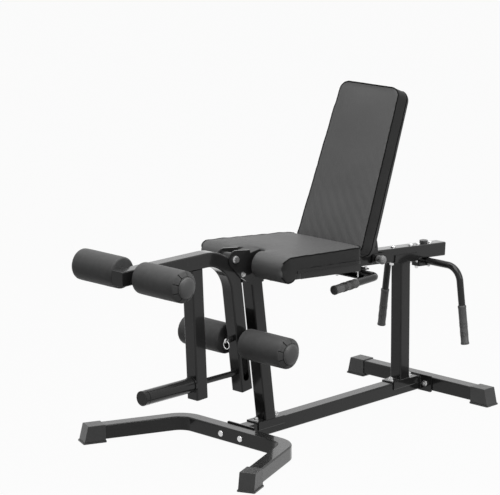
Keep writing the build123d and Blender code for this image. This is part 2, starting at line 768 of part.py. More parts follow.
def spring_pin(seat, size, depth, reach):
    """Pin with the shoulder its spring presses on, from depth below its seat to reach above."""
    with BuildPart() as pin:
        with BuildSketch(seat.offset(-depth)):
            Circle(size / 2)
        extrude(amount=depth + reach)
        chamfer(pin.faces().sort_by(Axis(seat.origin, seat.z_dir))[0].edges(), 1)
        with BuildSketch(seat.offset(running)):
            Circle(size / 2 + barrel_room - 2 * running)
        extrude(amount=barrel_end - 2 * running)
    return pin.part


def pin_spring(seat, size):
    """Spring drawn pressed, resting on the pin's shoulder."""
    wire = barrel_room * 0.6
    radius = size / 2 + barrel_room / 2
    coil_low = barrel_end + wire / 2
    rise = barrel_spring - wire
    with BuildPart() as spring:
        with BuildLine() as coil:
            Helix(rise / 2, rise, radius, center=seat.offset(coil_low).origin, direction=seat.z_dir)
        with BuildSketch(Plane(origin=coil.line @ 0, z_dir=coil.line % 0)):
            Circle(wire / 2)
        sweep(path=coil.line, is_frenet=True)
    return spring.part


pull_travel = half - slider_core / 2 + 1.0
pull_barrel_length = 2 * barrel_end + barrel_spring + pull_travel
finish(pin_barrel(pull_pin_seat, pull_pin_size, pull_travel), "pull_pin_barrel")
eye_radius = pull_pin_size * 0.8
eye_at = pull_pin_at + pull_pin_out * (half + pull_barrel_length + play + eye_radius)
with BuildPart() as pull_pin:
    add(spring_pin(pull_pin_seat, pull_pin_size, half - slider_core / 2 - tube_corner / 2,
                   pull_barrel_length + play + eye_radius / 2))
    with BuildSketch(side_plane(eye_at)):
        Circle(eye_radius)
    extrude(amount=ring_wire, both=True)
    with BuildSketch(side_plane(eye_at)):
        Circle(ring_wire)
    extrude(amount=pull_pin_size, both=True, mode=Mode.SUBTRACT)
    with Locations(Plane(origin=eye_at - world_z * (pull_ring + ring_wire * 0.35), z_dir=rearwards)):
        Torus(pull_ring, ring_wire / 2)
finish(pull_pin.part, "pull_pin")
finish(pin_spring(pull_pin_seat, pull_pin_size), "pull_pin_spring")

# ---------------------------------------------------------------- foam rollers
hub_inner = axle_radius + running
hub_outer = hub_inner + hub_wall


def foam_roller(middle, side):
    """Foam sleeve of one roller, between the collar and the hub's cap."""
    start = middle + world_y * (side * foam_inner_y)
    with BuildPart() as foam:
        add(ring(start, world_y * side, foam_size / 2, hub_outer, foam_length))
        rims = foam.edges().filter_by(GeomType.CIRCLE).filter_by(lambda e: e.radius > hub_outer + 1)
        fillet(rims, tube_corner)
    return foam.part


def roller_hub(middle, side):
    """Plastic hub that turns on the axle, closed outside by a domed cap."""
    start = middle + world_y * (side * foam_inner_y)
    end = start + world_y * (side * foam_length)
    with BuildPart() as hub:
        add(ring(start, world_y * side, hub_outer, hub_inner, foam_length))
        with BuildSketch(Plane(origin=end, z_dir=world_y * side)):
            Circle(cap_size / 2)
        extrude(amount=cap_dome)
        fillet(hub.faces().sort_by(Axis(end, world_y * side))[-1].edges(), cap_dome * 0.8)
    return hub.part


for place, middle in (("upper", upper_axle), ("lower", lower_axle)):
    for hand, side in (("left", -1), ("right", 1)):
        finish(foam_roller(middle, side), f"{place}_foam_{hand}")
        finish(roller_hub(middle, side), f"{place}_roller_hub_{hand}")

# ---------------------------------------------------------------- seat
seat_nose = rail_point(post_x - seat_front, half)
seat_length = (seat_front - seat_rear) / cos(tilt)
seat_plane = Plane(origin=seat_nose, x_dir=rail_dir, z_dir=rail_up)
seat_side = Plane(origin=seat_nose, x_dir=rail_dir, z_dir=-world_y)
seat_top = seat_board_thick + seat_thickness


def wedge_outline(length, near_half, far_half, corner, inset=0.0, start=0.0):
    """Tapered outline with round corners along local X, inside the sketch that calls it."""
    slope = (far_half - near_half) / length
    first, last = start + inset, length - inset
    with BuildSketch(mode=Mode.PRIVATE) as outline:
        Polygon(
            (first, near_half + slope * first - inset), (last, near_half + slope * last - inset),
            (last, -near_half - slope * last + inset), (first, -near_half - slope * first + inset),
            align=None,
        )
        fillet(outline.vertices(), corner)
    return outline.sketch


def slot_in_front(half_width, depth):
    """Round-ended notch from the seat's front edge, inside the sketch that calls it."""
    with BuildSketch(mode=Mode.PRIVATE) as notch:
        with Locations((depth / 2, 0)):
            Rectangle(depth, 2 * half_width)
        fillet(notch.vertices().group_by(Axis.X)[-1], seat_corner)
    return notch.sketch


with BuildPart() as seat_pad:
    with BuildSketch(seat_side):
        with Locations((seat_roll / 2, seat_top - seat_roll / 2)):
            Circle(seat_roll / 2)
        Polygon(
            (seat_roll / 2, seat_top), (seat_length, seat_top), (seat_length, seat_board_thick),
            (seat_roll_length, seat_board_thick), (seat_roll_length, seat_top - seat_roll),
            (seat_roll / 2, seat_top - seat_roll),
            align=None,
        )
    extrude(amount=seat_front_half, both=True)
    with BuildSketch(seat_plane.offset(seat_top)):
        add(wedge_outline(seat_length, seat_front_half, seat_rear_half, seat_corner))
        add(slot_in_front(seat_notch_half, seat_notch_depth), mode=Mode.SUBTRACT)
    extrude(amount=-2 * seat_roll, mode=Mode.INTERSECT)
    # underside of the front roll is cut away over the upper rail
    with BuildSketch(seat_plane):
        with Locations((seat_roll_length / 2, 0)):
            Rectangle(seat_roll_length, 2 * seat_notch_half)
    extrude(amount=-seat_roll, mode=Mode.SUBTRACT)
finish(seat_pad.part, "seat_pad")

seat_screw_xs = (seat_front - seat_bar_front + seat_screw_inset, seat_front - seat_bar_rear - seat_screw_inset)
seat_screw_seats = [
    Plane(origin=rail_point(post_x - seat_front + x, half - seat_bar, y), x_dir=world_y, z_dir=-rail_up)
    for x in seat_screw_xs
    for y in (-seat_bar_y, seat_bar_y)
]
board_screw_depth = seat_bar + seat_board_thick * 0.7
with BuildPart() as seat_board:
    with BuildSketch(seat_plane):
        add(wedge_outline(seat_length, seat_front_half, seat_rear_half, seat_corner / 2, board_inset,
                          seat_roll_length - board_inset))
    extrude(amount=seat_board_thick)
    add(drill(seat_screw_seats, screw_size, board_screw_depth + 1, running), mode=Mode.SUBTRACT)
finish(seat_board.part, "seat_board")

bar_ends = [seat_front - seat_bar_front, seat_front - seat_bar_rear]
with BuildPart() as seat_frame:
    with BuildSketch(seat_plane):
        bar_middle, bar_length = sum(bar_ends) / 2, bar_ends[1] - bar_ends[0]
        with Locations((bar_middle, -seat_bar_y), (bar_middle, seat_bar_y)):
            Rectangle(bar_length, seat_bar)
        arm_length = seat_bar_y - seat_bar / 2 - half
        arm_middle = half + arm_length / 2
        arm_xs = (bar_ends[0] + seat_arm_inset, bar_ends[1] - seat_arm_inset)
        with Locations(*[(x, y) for x in arm_xs for y in (-arm_middle, arm_middle)]):
            Rectangle(seat_bar, arm_length)
    extrude(amount=-seat_bar)
    add(drill(seat_screw_seats, screw_size, seat_bar + 1), mode=Mode.SUBTRACT)
finish(seat_frame.part, "seat_frame")
finish(repeat(wood_screw(board_screw_depth), seat_screw_seats), "seat_screws")

# ---------------------------------------------------------------- backrest
back_up = up_along(recline)
back_fore = -across_of(back_up)
back_rear_face = back_front - back_pad_thick - back_board_thick
back_length = back_high - back_low


def back_plane(off):
    """Plane square to the backrest, off ahead of the hinge, local X up along the back."""
    return Plane(origin=hinge + back_fore * off + back_up * back_low, x_dir=back_up, z_dir=back_fore)


def back_box(low, high, near, far, y_from, y_to):
    """Block given along the back, ahead of the hinge and across the bench."""
    corner_at = hinge + back_up * low + back_fore * near + world_y * y_from
    with BuildPart() as block:
        with BuildSketch(Plane(origin=corner_at, x_dir=back_up, z_dir=back_fore)):
            Rectangle(high - low, y_to - y_from, align=(Align.MIN, Align.MIN))
        extrude(amount=far - near)
    return block.part


with BuildPart() as backrest_pad:
    with BuildSketch(back_plane(back_rear_face + back_board_thick)):
        add(wedge_outline(back_length, back_low_half, back_high_half, back_corner))
    extrude(amount=back_pad_thick)
finish(backrest_pad.part, "backrest_pad")

flange_face = back_rear_face - plate
back_screw_y = ear_outer + flange_width / 2
back_screw_seats = [
    Plane(origin=hinge + back_up * b + back_fore * flange_face + world_y * y, x_dir=world_y, z_dir=-back_fore)
    for b in back_screw_at
    for y in (-back_screw_y, back_screw_y)
]
back_screw_depth = plate + back_board_thick * 0.7
with BuildPart() as backrest_board:
    with BuildSketch(back_plane(back_rear_face)):
        add(wedge_outline(back_length, back_low_half, back_high_half, back_corner, board_inset))
    extrude(amount=back_board_thick)
    add(drill(back_screw_seats, screw_size, back_screw_depth + 1, running), mode=Mode.SUBTRACT)
finish(backrest_board.part, "backrest_board")
finish(repeat(wood_screw(back_screw_depth), back_screw_seats), "backrest_screws")

# sector plate: its holes sit on a circle about the hinge, the first at the pin at rest
pin_arm = selector - hinge
sector_radius = pin_arm.length
sector_start = degrees(asin(-pin_arm.Z / sector_radius))
cheek_near = back_rear_face - cheek_depth
with BuildPart() as backrest_frame:
    for side in (-1, 1):
        y_from, y_to = sorted((side * ear_inner, side * ear_outer))
        add(back_box(0, cheek_length, cheek_near, back_rear_face, y_from, y_to))
        y_from, y_to = sorted((side * ear_outer, side * (ear_outer + flange_width)))
        add(back_box(back_low + board_inset * 3, cheek_length, flange_face, back_rear_face, y_from, y_to))
        with BuildSketch(side_plane(hinge - world_y * ear_inner * side)):
            Circle(back_rear_face)
        extrude(amount=plate * side)
    for b in (bumper_bar_at, top_bar_at):
        add(back_box(b - cross_bar, b, back_rear_face - cross_bar, back_rear_face, -cross_bar_half, cross_bar_half))
    with BuildSketch(side_plane(hinge - world_y * ear_inner)):
        Circle(sector_radius + sector_rim)
        Circle(sector_radius - sector_rim, mode=Mode.SUBTRACT)
        # keep the part of the ring between the pin's side and the near cheek
        far = 2 * sector_radius
        low_angle, high_angle = radians(-sector_start - sector_margin), radians(90 - recline)
        Polygon(
            (0, 0), (far * cos(low_angle), far * sin(low_angle)), (far, far),
            (far * cos(high_angle), far * sin(high_angle)),
            align=None,
            mode=Mode.INTERSECT,
        )
    extrude(amount=plate)
    sector_seats = []
    for k in range(sector_holes):
        turn = radians(k * sector_step - sector_start)
        hole = hinge + Vector(cos(turn), 0, sin(turn)) * sector_radius - world_y * ear_outer
        sector_seats.append(side_plane(hole))
    add(drill(sector_seats, selector_size, plate + play, running), mode=Mode.SUBTRACT)
    add(drill([side_plane(hinge + ear_face)], hinge_bolt_size, 2 * ear_outer, running), mode=Mode.SUBTRACT)
    add(drill(back_screw_seats, screw_size, plate + play), mode=Mode.SUBTRACT)
finish(backrest_frame.part, "backrest_frame")
finish(repeat(through_bolt(hinge_bolt_size, 2 * ear_outer), [side_plane(hinge + ear_face)]), "backrest_hinge_bolt")

# ---------------------------------------------------------------- selector pin on the upper rail
bracket_face = ear_outer + play
selector_seat = side_plane(selector - world_y * (bracket_face + plate), rail_up)
foot_start = post_x - hinge_x + sector_radius + sector_rim + tube_corner - selector.X
foot_end = foot_start + bracket_foot
with BuildPart() as selector_bracket:
    with BuildSketch(side_plane(selector - world_y * bracket_face, rail_up)):
        with Locations(((foot_end - bracket_height / 2) / 2, 0)):
            RectangleRounded(foot_end + bracket_height / 2, bracket_height, tube_corner)
        Circle(selector_size / 2 + running, mode=Mode.SUBTRACT)
    extrude(amount=plate)
    with BuildSketch(side_plane(selector - world_y * half, rail_up)):
        with Locations(((foot_start + foot_end) / 2, (bracket_foot_height - bracket_height) / 2)):
            Rectangle(bracket_foot, bracket_foot_height)
    extrude(amount=bracket_face - half)
    add(pin_barrel(selector_seat, selector_size, selector_travel))
finish(selector_bracket.part, "selector_bracket")

selector_barrel_length = 2 * barrel_end + barrel_spring + selector_travel
selector_depth = bracket_face + plate - half + tube_wall
knob_bore = selector_size / 2 + barrel_room + barrel_wall + play
# the pin is drawn pulled out and parked, clear of the plate, so that the back can turn
parked_seat = selector_seat.offset(selector_travel)
with BuildPart() as selector_pin:
    add(spring_pin(parked_seat, selector_size, selector_depth, selector_barrel_length + plate))
finish(selector_pin.part, "selector_pin")
with BuildPart() as selector_knob:
    knob_length = selector_barrel_length + 2 * plate
    with BuildSketch(parked_seat.offset(2 * play)):
        Circle(knob_size / 2)
    extrude(amount=knob_length)
    fillet(selector_knob.faces().sort_by(Axis(parked_seat.origin, -world_y))[-1].edges(), knob_size * 0.3)
    with BuildSketch(parked_seat):
        Circle(knob_bore)
    extrude(amount=selector_barrel_length + play, mode=Mode.SUBTRACT)
    with BuildSketch(parked_seat):
        Circle(selector_size / 2)
    extrude(amount=selector_barrel_length + plate, mode=Mode.SUBTRACT)
finish(selector_knob.part, "selector_knob")
finish(pin_spring(parked_seat, selector_size), "selector_spring")

# ---------------------------------------------------------------- backrest bumper
# The bumper's top lies in the plane of the cross bar's rear face when the back is level.
level_up = up_along(recline + back_range)
level_fore = -across_of(level_up)
bar_level = hinge + level_up * (bumper_bar_at - cross_bar / 2) + level_fore * (back_rear_face - cross_bar)
bumper_foot = rail_point(bar_level.X, half)
with BuildPart() as backrest_bumper:
    with BuildSketch(end_plane(bumper_foot, rail_up)):
        Circle(bumper_size / 2)
    extrude(amount=bumper_size)
    split(bisect_by=end_plane(bar_level - level_fore * touch, level_fore), keep=Keep.BOTTOM)
finish(backrest_bumper.part, "backrest_bumper")


# ---------------------------------------------------------------- handles
def grip(end, outward, size, length):
    """Rubber sleeve over a handle's end, with a closed round end."""
    with BuildPart() as sleeve:
        with BuildSketch(Plane(origin=end + outward * plug_lip, z_dir=-outward)):
            Circle(size / 2)
        extrude(amount=length)
        fillet(sleeve.edges().filter_by(GeomType.CIRCLE), plug_lip * 0.8)
        with BuildSketch(Plane(origin=end, z_dir=-outward)):
            Circle(rod_tube / 2)
        extrude(amount=length, mode=Mode.SUBTRACT)
    return sleeve.part


handle_seat = rail_point(post_x - seat_handle_x, -half)
handle_mid = handle_seat - rail_up * (clamp_plate + rod_tube / 2)
handle_ends = [
    handle_mid + Vector(-seat_handle_reach, side * seat_handle_end_y, 0) for side in (-1, 1)
]
handle_corners = [handle_mid + world_y * side * seat_handle_y for side in (-1, 1)]
handle_out = [(end - turn).normalized() for end, turn in zip(handle_ends, handle_corners)]
handle_points = [handle_ends[0], handle_corners[0], handle_corners[1], handle_ends[1]]
finish(bent_rod(handle_points, seat_handle_bend, rod_tube, rod_wall), "seat_handle")
with BuildPart() as seat_handle_grips:
    for end, outward in zip(handle_ends, handle_out):
        add(grip(end, outward, seat_grip_size, seat_grip_length))
finish(seat_handle_grips.part, "seat_handle_grips")

clamp_seats = [
    Plane(origin=handle_seat + rail_dir * x + world_y * y, x_dir=world_y, z_dir=rail_up)
    for x in (-clamp_bolt_at[0], clamp_bolt_at[0])
    for y in (-clamp_bolt_at[1], clamp_bolt_at[1])
]
clamp_grip = rod_tube + 2 * clamp_plate
with BuildPart() as seat_handle_clamp:
    for lift in (0, clamp_plate + rod_tube):
        with BuildSketch(Plane(origin=handle_seat - rail_up * lift, x_dir=rail_dir, z_dir=-rail_up)):
            RectangleRounded(2 * clamp_half[0], 2 * clamp_half[1], tube_corner)
        extrude(amount=clamp_plate)
    add(drill(clamp_seats, screw_size, clamp_grip), mode=Mode.SUBTRACT)
finish(seat_handle_clamp.part, "seat_handle_clamp")
finish(repeat(through_bolt(screw_size, clamp_grip), clamp_seats), "seat_handle_bolts")

bar_seat = rail_point(post_x + rear_bar_x, -half)
bar_mid = bar_seat - rail_up * (rod_tube / 2)
bar_corners = [bar_mid + world_y * side * rear_bar_corner_y for side in (-1, 1)]
drop_out = rear_bar_drop * tan(radians(rear_bar_splay))
bar_drops = [
    bar_mid + Vector(0, side * (rear_bar_corner_y + drop_out), -rear_bar_drop) for side in (-1, 1)
]
bar_points = [bar_drops[0], bar_corners[0], bar_corners[1], bar_drops[1]]
finish(bent_rod(bar_points, rear_bar_bend, rod_tube, rod_wall), "rear_handlebar")
with BuildPart() as rear_handlebar_grips:
    for end, turn in zip(bar_drops, bar_corners):
        add(grip(end, (end - turn).normalized(), rear_grip_size, rear_grip_length))
finish(rear_handlebar_grips.part, "rear_handlebar_grips")

block_low = rod_tube + clamp_plate
rear_clamp_grip = tube + block_low
with BuildPart() as rear_handlebar_clamp:
    block_origin = bar_seat - rail_up * block_low
    with BuildSketch(Plane(origin=block_origin, x_dir=rail_dir, z_dir=rail_up)):
        RectangleRounded(rear_clamp_pitch + 3 * small_bolt, rear_clamp_width, tube_corner)
    extrude(amount=clamp_plate + rear_clamp_wrap)
    with BuildSketch(side_plane(bar_mid)):
        Circle(rod_tube / 2)
    extrude(amount=rear_clamp_width, both=True, mode=Mode.SUBTRACT)
    add(drill(bar_bolt_seats, small_bolt, rear_clamp_grip + 1), mode=Mode.SUBTRACT)
finish(rear_handlebar_clamp.part, "rear_handlebar_clamp")
finish(repeat(through_bolt(small_bolt, rear_clamp_grip, domed=True), bar_bolt_seats), "rear_handlebar_bolts")
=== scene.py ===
import json
from math import atan2, cos, pi, radians, sin

import bmesh
import bpy
from bpy.props import FloatProperty, FloatVectorProperty, IntProperty, PointerProperty
from mathutils import Matrix, Vector, kdtree, noise
from mathutils.bvhtree import BVHTree

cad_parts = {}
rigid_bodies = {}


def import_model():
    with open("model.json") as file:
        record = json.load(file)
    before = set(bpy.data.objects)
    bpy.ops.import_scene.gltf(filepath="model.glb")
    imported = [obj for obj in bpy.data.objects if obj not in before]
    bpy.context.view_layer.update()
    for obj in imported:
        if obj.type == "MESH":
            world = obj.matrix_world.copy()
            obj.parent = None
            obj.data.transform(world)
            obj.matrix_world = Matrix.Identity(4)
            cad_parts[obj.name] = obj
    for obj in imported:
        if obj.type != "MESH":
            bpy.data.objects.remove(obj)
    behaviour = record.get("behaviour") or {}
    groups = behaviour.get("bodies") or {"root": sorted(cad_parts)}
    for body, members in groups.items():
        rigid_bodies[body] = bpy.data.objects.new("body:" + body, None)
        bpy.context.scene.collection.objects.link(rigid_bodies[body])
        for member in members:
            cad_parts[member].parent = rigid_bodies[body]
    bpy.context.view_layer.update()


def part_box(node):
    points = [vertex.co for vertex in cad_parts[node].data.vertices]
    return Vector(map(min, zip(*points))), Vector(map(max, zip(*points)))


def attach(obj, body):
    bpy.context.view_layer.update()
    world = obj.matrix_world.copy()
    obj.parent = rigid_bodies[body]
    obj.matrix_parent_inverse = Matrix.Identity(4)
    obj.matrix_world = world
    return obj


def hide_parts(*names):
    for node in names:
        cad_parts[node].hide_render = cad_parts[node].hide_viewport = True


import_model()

bl_info = {
    "name": "Weight Bench Dressing",
    "version": (1, 0, 0),
    "blender": (4, 5, 0),
    "location": "View3D > Sidebar > Bench",
    "description": "Upholstery, rollers, grips, welds and finishes of an adjustable weight bench",
    "category": "Object",
}

# The seat's own axes: along the rail towards the back, and square to it.
SEAT_ALONG = Vector((0.99696, 0.0, -0.07794))
SEAT_UP = Vector((0.07794, 0.0, 0.99696))
# The backrest's own axes: up along the pad, and out of its front face.
BACK_UP = Vector((0.37201, 0.0, 0.92823))
BACK_FORE = Vector((-0.92823, 0.0, 0.37201))
WIDTH = Vector((0.0, 1.0, 0.0))
SEAT_NOSE = Vector((-0.24215, 0.0, 0.6148))
HINGE = Vector((0.264853, 0.0, 0.56))
# The seat's front in its own axes: the plain roll's round top, its foot and length,
# and the sewn roll's radius.
ROLL_TOP_RADIUS = 0.046
ROLL_TOP_UP = 0.014
ROLL_TOP_SKIN = 0.0425
ROLL_FOOT = 0.032
ROLL_LENGTH = 0.116
ROLL_RADIUS = 0.0405
BOARD_FACE = 0.0098
# How much wider the sewn pads are, and over what length the extra width runs out.
SEAT_SPREAD, SEAT_SPREAD_RUN = 0.045, 0.4
BACK_SPREAD, BACK_SPREAD_RUN = 0.05, 0.6
WHITE = (1.0, 1.0, 1.0, 1.0)
# What the white surroundings give as light, and how much of the floor's look is plain white.
FILL_LIGHT = 0.08
FLOOR_WHITE = 0.96


# ---------------------------------------------------------------- node trees
class Wire:
    """A node's output; sums and products of wires add Math nodes."""

    def __init__(self, board, socket):
        self.board = board
        self.socket = socket

    def maths(self, operation, first, second=None):
        values = {0: first} if second is None else {0: first, 1: second}
        return self.board.add("ShaderNodeMath", {"operation": operation}, values)

    def __add__(self, other):
        return self.maths("ADD", self, other)

    __radd__ = __add__

    def __mul__(self, other):
        return self.maths("MULTIPLY", self, other)

    __rmul__ = __mul__

    def __sub__(self, other):
        return self.maths("SUBTRACT", self, other)

    def __rsub__(self, other):
        return self.maths("SUBTRACT", other, self)

    def sine(self):
        return self.maths("SINE", self)

    def size(self):
        return self.maths("ABSOLUTE", self)


class Board:
    """A node tree that is filled one node at a time."""

    def __init__(self, tree):
        self.tree = tree

    def add(self, kind, settings=None, sockets=None, out=0):
        """Node of a kind: its settings first, then its sockets; gives back one output."""
        node = self.tree.nodes.new(kind)
        for name, value in (settings or {}).items():
            if name == "stops":
                while len(node.color_ramp.elements) < len(value):
                    node.color_ramp.elements.new(0.5)
                for stop, (place, level) in zip(node.color_ramp.elements, value):
                    stop.position = place
                    stop.color = (level, level, level, 1.0)
            else:
                setattr(node, name, value)
        for name, value in (sockets or {}).items():
            if isinstance(value, Wire):
                self.tree.links.new(value.socket, node.inputs[name])
            else:
                node.inputs[name].default_value = value
        return Wire(self, node.outputs[out]) if len(node.outputs) else node

    def noise(self, place, scale, detail=2.0, rough=0.5):
        """Noise from 0 to 1; the scale is in features to the metre."""
        sockets = {"Vector": place, "Scale": scale, "Detail": detail, "Roughness": rough}
        return self.add("ShaderNodeTexNoise", None, sockets)

    def cells(self, place, scale):
        """Distance to the nearest of scattered cell centres."""
        return self.add("ShaderNodeTexVoronoi", {"feature": "F1"}, {"Vector": place, "Scale": scale})

    def ramp(self, value, *stops):
        return self.add("ShaderNodeValToRGB", {"stops": stops}, {"Fac": value})

    def blend(self, share, low, high):
        """Colour between two, by a share from 0 to 1."""
        sockets = {0: share, 6: low, 7: high}
        return self.add("ShaderNodeMix", {"data_type": "RGBA"}, sockets, out=2)

    def parts(self, place):
        """X, Y and Z of a vector."""
        first = self.add("ShaderNodeSeparateXYZ", None, {0: place})
        return [Wire(self, socket) for socket in first.socket.node.outputs]

    def placed(self, turn=(0.0, 0.0, 0.0), stretch=(1.0, 1.0, 1.0)):
        """Object coordinates, turned and stretched."""
        place = self.add("ShaderNodeTexCoord", None, None, out="Object")
        return self.add("ShaderNodeMapping", None, {"Vector": place, "Rotation": turn, "Scale": stretch})

    def bump(self, height, strength, depth):
        """Normal that follows a height, whose full step is depth metres."""
        return self.add("ShaderNodeBump", None, {"Height": height, "Strength": strength, "Distance": depth})


def grey(level):
    return (level, level, level, 1.0)


def new_finish(name, draw):
    """Material of this name; draw(board) gives the sockets of its shader."""
    material = bpy.data.materials.new(name)
    material.use_nodes = True
    material.node_tree.nodes.clear()
    board = Board(material.node_tree)
    shader = board.add("ShaderNodeBsdfPrincipled", None, draw(board))
    board.add("ShaderNodeOutputMaterial", None, {"Surface": shader})
    material.diffuse_color = grey(0.1)
    return material


# ---------------------------------------------------------------- finishes
def powder_coat(board):
    """Semi-gloss black powder coat with its fine orange peel."""
    place = board.placed()
    broad = board.noise(place, 7.0, 4.0)
    peel = board.noise(place, 520.0, 2.0)
    level = bpy.context.scene.bench_finishes.coat_level
    return {
        "Base Color": board.blend(broad, grey(level * 0.8), grey(level * 1.25)),
        "Roughness": board.noise(place, 34.0, 5.0) * 0.12 + 0.2,
        "Normal": board.bump(peel, 0.1, 0.0004),
        "Specular IOR Level": 0.06,
        "Coat Weight": 1.0,
        "Coat IOR": 1.28,
        "Coat Roughness": 0.08,
    }


def zinc_plate(board):
    """Bright zinc with faint drawing marks."""
    place = board.placed()
    streak = board.noise(board.placed(stretch=(1.0, 1.0, 9.0)), 240.0, 4.0)
    return {
        "Base Color": board.blend(board.noise(place, 60.0, 4.0), grey(0.5), grey(0.78)),
        "Roughness": streak * 0.16 + 0.2,
        "Metallic": 1.0,
        "Normal": board.bump(streak, 0.1, 0.0003),
    }


def rubber(board):
    """Black rubber with a dry, finely pitted skin."""
    place = board.placed()
    pits = board.cells(place, 900.0)
    return {
        "Base Color": board.blend(board.noise(place, 40.0, 5.0), grey(0.022), grey(0.045)),
        "Roughness": board.noise(place, 90.0, 3.0) * 0.16 + 0.34,
        "Normal": board.bump(pits, 0.22, 0.0004),
        "Specular IOR Level": 0.3,
        "Coat Weight": 0.5,
        "Coat IOR": 1.3,
        "Coat Roughness": 0.3,
    }


def grip_rubber(board):
    """Black rubber, moulded smooth, for the handles, lifted to charcoal as painted sheen."""
    place = board.placed()
    return {
        # Base colour lifted from black to charcoal: painted sheen standing in for the glossy highlight on the
        # grips' tops.
        "Base Color": board.blend(board.noise(place, 40.0, 4.0), grey(0.065), grey(0.095)),
        "Roughness": board.noise(place, 90.0, 3.0) * 0.14 + 0.3,
        "Normal": board.bump(board.cells(place, 900.0), 0.12, 0.0003),
        "Specular IOR Level": 0.35,
    }


def black_plastic(board):
    """Moulded black plastic with a spark-eroded texture."""
    place = board.placed()
    texture = board.noise(place, 1400.0, 2.0)
    return {
        "Base Color": board.blend(board.noise(place, 25.0, 3.0), grey(0.016), grey(0.026)),
        "Roughness": board.noise(place, 70.0, 3.0) * 0.12 + 0.26,
        "Normal": board.bump(texture, 0.15, 0.0003),
        "Specular IOR Level": 0.2,
    }


def cap_plastic(board):
    """Moulded charcoal plastic with a satin skin."""
    place = board.placed()
    return {
        "Base Color": board.blend(board.noise(place, 30.0, 3.0), grey(0.05), grey(0.07)),
        "Roughness": board.noise(place, 70.0, 3.0) * 0.12 + 0.36,
        "Normal": board.bump(board.noise(place, 1300.0, 2.0), 0.12, 0.0003),
        "Specular IOR Level": 0.35,
    }


def grey_plastic(board):
    """Moulded mid-grey plastic."""
    place = board.placed()
    return {
        "Base Color": board.blend(board.noise(place, 60.0, 3.0), grey(0.2), grey(0.27)),
        "Roughness": board.noise(place, 80.0, 3.0) * 0.14 + 0.34,
        "Normal": board.bump(board.noise(place, 1200.0, 2.0), 0.12, 0.0003),
    }


def roller_foam(board):
    """Skinned closed-cell foam: satin black with fine cells under the skin."""
    place = board.placed()
    pores = board.cells(place, 620.0)
    skin = board.noise(place, 55.0, 5.0)
    return {
        "Base Color": board.blend(skin, grey(0.05), grey(0.078)),
        "Roughness": skin * 0.16 + 0.42,
        "Normal": board.bump(pores * 0.6 + skin * 0.8, 0.3, 0.0007),
        "Specular IOR Level": 0.12,
    }


def vinyl(board):
    """Upholstery vinyl with a leather grain; its low level on the pads' sides is painted shade."""
    place = board.placed()
    grain = board.cells(place, 520.0) * 0.7 + board.noise(place, 1200.0, 2.0) * 0.3
    # The border's level sits below the panel's: painted shade on the sides of the one grey vinyl.
    level = bpy.context.scene.bench_finishes.border_level
    return {
        "Base Color": board.blend(board.noise(place, 14.0, 4.0), grey(level * 0.85), grey(level * 1.2)),
        "Roughness": board.noise(place, 45.0, 4.0) * 0.14 + 0.46,
        "Normal": board.bump(grain, 0.35, 0.0005),
        "Specular IOR Level": 0.15,
    }


def welt_vinyl(board):
    """Narrow black vinyl piping."""
    place = board.placed()
    return {
        "Base Color": board.blend(board.noise(place, 30.0, 3.0), grey(0.003), grey(0.006)),
        "Roughness": board.noise(place, 60.0, 3.0) * 0.14 + 0.5,
        "Normal": board.bump(board.cells(place, 700.0), 0.2, 0.0003),
        "Specular IOR Level": 0.05,
    }


def woven(lean, diagonal):
    """Embossed grey cloth-look vinyl whose threads run along and across a leaning panel, lighter than the border
    as painted light.
    """

    def draw(board):
        place = board.placed(turn=(0.0, lean, 0.0))
        along, across, _ = board.parts(place)
        thread = 2 * pi / bpy.context.scene.bench_cushions.thread_pitch
        weave = (along * thread).sine() * (across * thread).sine()
        rib = (along * (2 * thread)).sine().size() * 0.4
        pull = board.noise(board.placed(turn=(0.0, lean, diagonal), stretch=(5.0, 34.0, 5.0)), 1.0, 2.0)
        # The panel's level sits above the border's: painted light for the overhead light and sheen on the pads'
        # faces.
        level = bpy.context.scene.bench_finishes.panel_level
        broad = board.noise(place, 6.0, 4.0)
        tone = board.ramp(weave * 0.36 + broad * 0.4 + 0.3, (0.2, level * 0.78), (0.8, level * 1.2))
        return {
            "Base Color": tone,
            "Roughness": board.noise(place, 90.0, 3.0) * 0.14 + 0.45,
            "Normal": board.add(
                "ShaderNodeBump", None,
                {
                    "Height": weave * 0.5 + rib, "Strength": 0.4, "Distance": 0.0004,
                    "Normal": board.bump(pull, 0.2, 0.004),
                },
            ),
            "Specular IOR Level": 0.3,
        }

    return draw


def painted_board(board):
    """Plywood under matt black paint, the grain just showing."""
    grain = board.noise(board.placed(stretch=(5.0, 90.0, 20.0)), 2.0, 6.0)
    return {
        "Base Color": board.blend(grain, grey(0.012), grey(0.03)),
        "Roughness": grain * 0.2 + 0.6,
        "Normal": board.bump(grain, 0.35, 0.0008),
    }


FINISHES = {
    "black_powder_coat": ("Black powder coat", powder_coat),
    "zinc_plate": ("Bright zinc plate", zinc_plate),
    "black_rubber": ("Black rubber", rubber),
    # The grips' charcoal finish is black rubber with painted sheen.
    "grip_rubber": ("Grip rubber with painted sheen", grip_rubber),
    "black_plastic": ("Moulded black plastic", black_plastic),
    "grey_plastic": ("Moulded grey plastic", grey_plastic),
    "cap_plastic": ("Moulded charcoal plastic", cap_plastic),
    "black_foam": ("Skinned roller foam", roller_foam),
    # One grey vinyl in two tones: the border darker as painted shade, the panels lighter as painted light.
    "grey_vinyl": ("Border vinyl with painted shade", vinyl),
    "welt_vinyl": ("Black piping vinyl", welt_vinyl),
    "painted_board": ("Painted plywood", painted_board),
    "seat_panel": ("Seat panel vinyl with painted light", woven(radians(-4.47), 0.6)),
    "back_panel": ("Back panel vinyl with painted light", woven(radians(-68.16), -0.75)),
}


def finish_of(key):
    """The material of a slot or panel, made the first time it is asked for."""
    name, draw = FINISHES[key]
    return bpy.data.materials.get(name) or new_finish(name, draw)


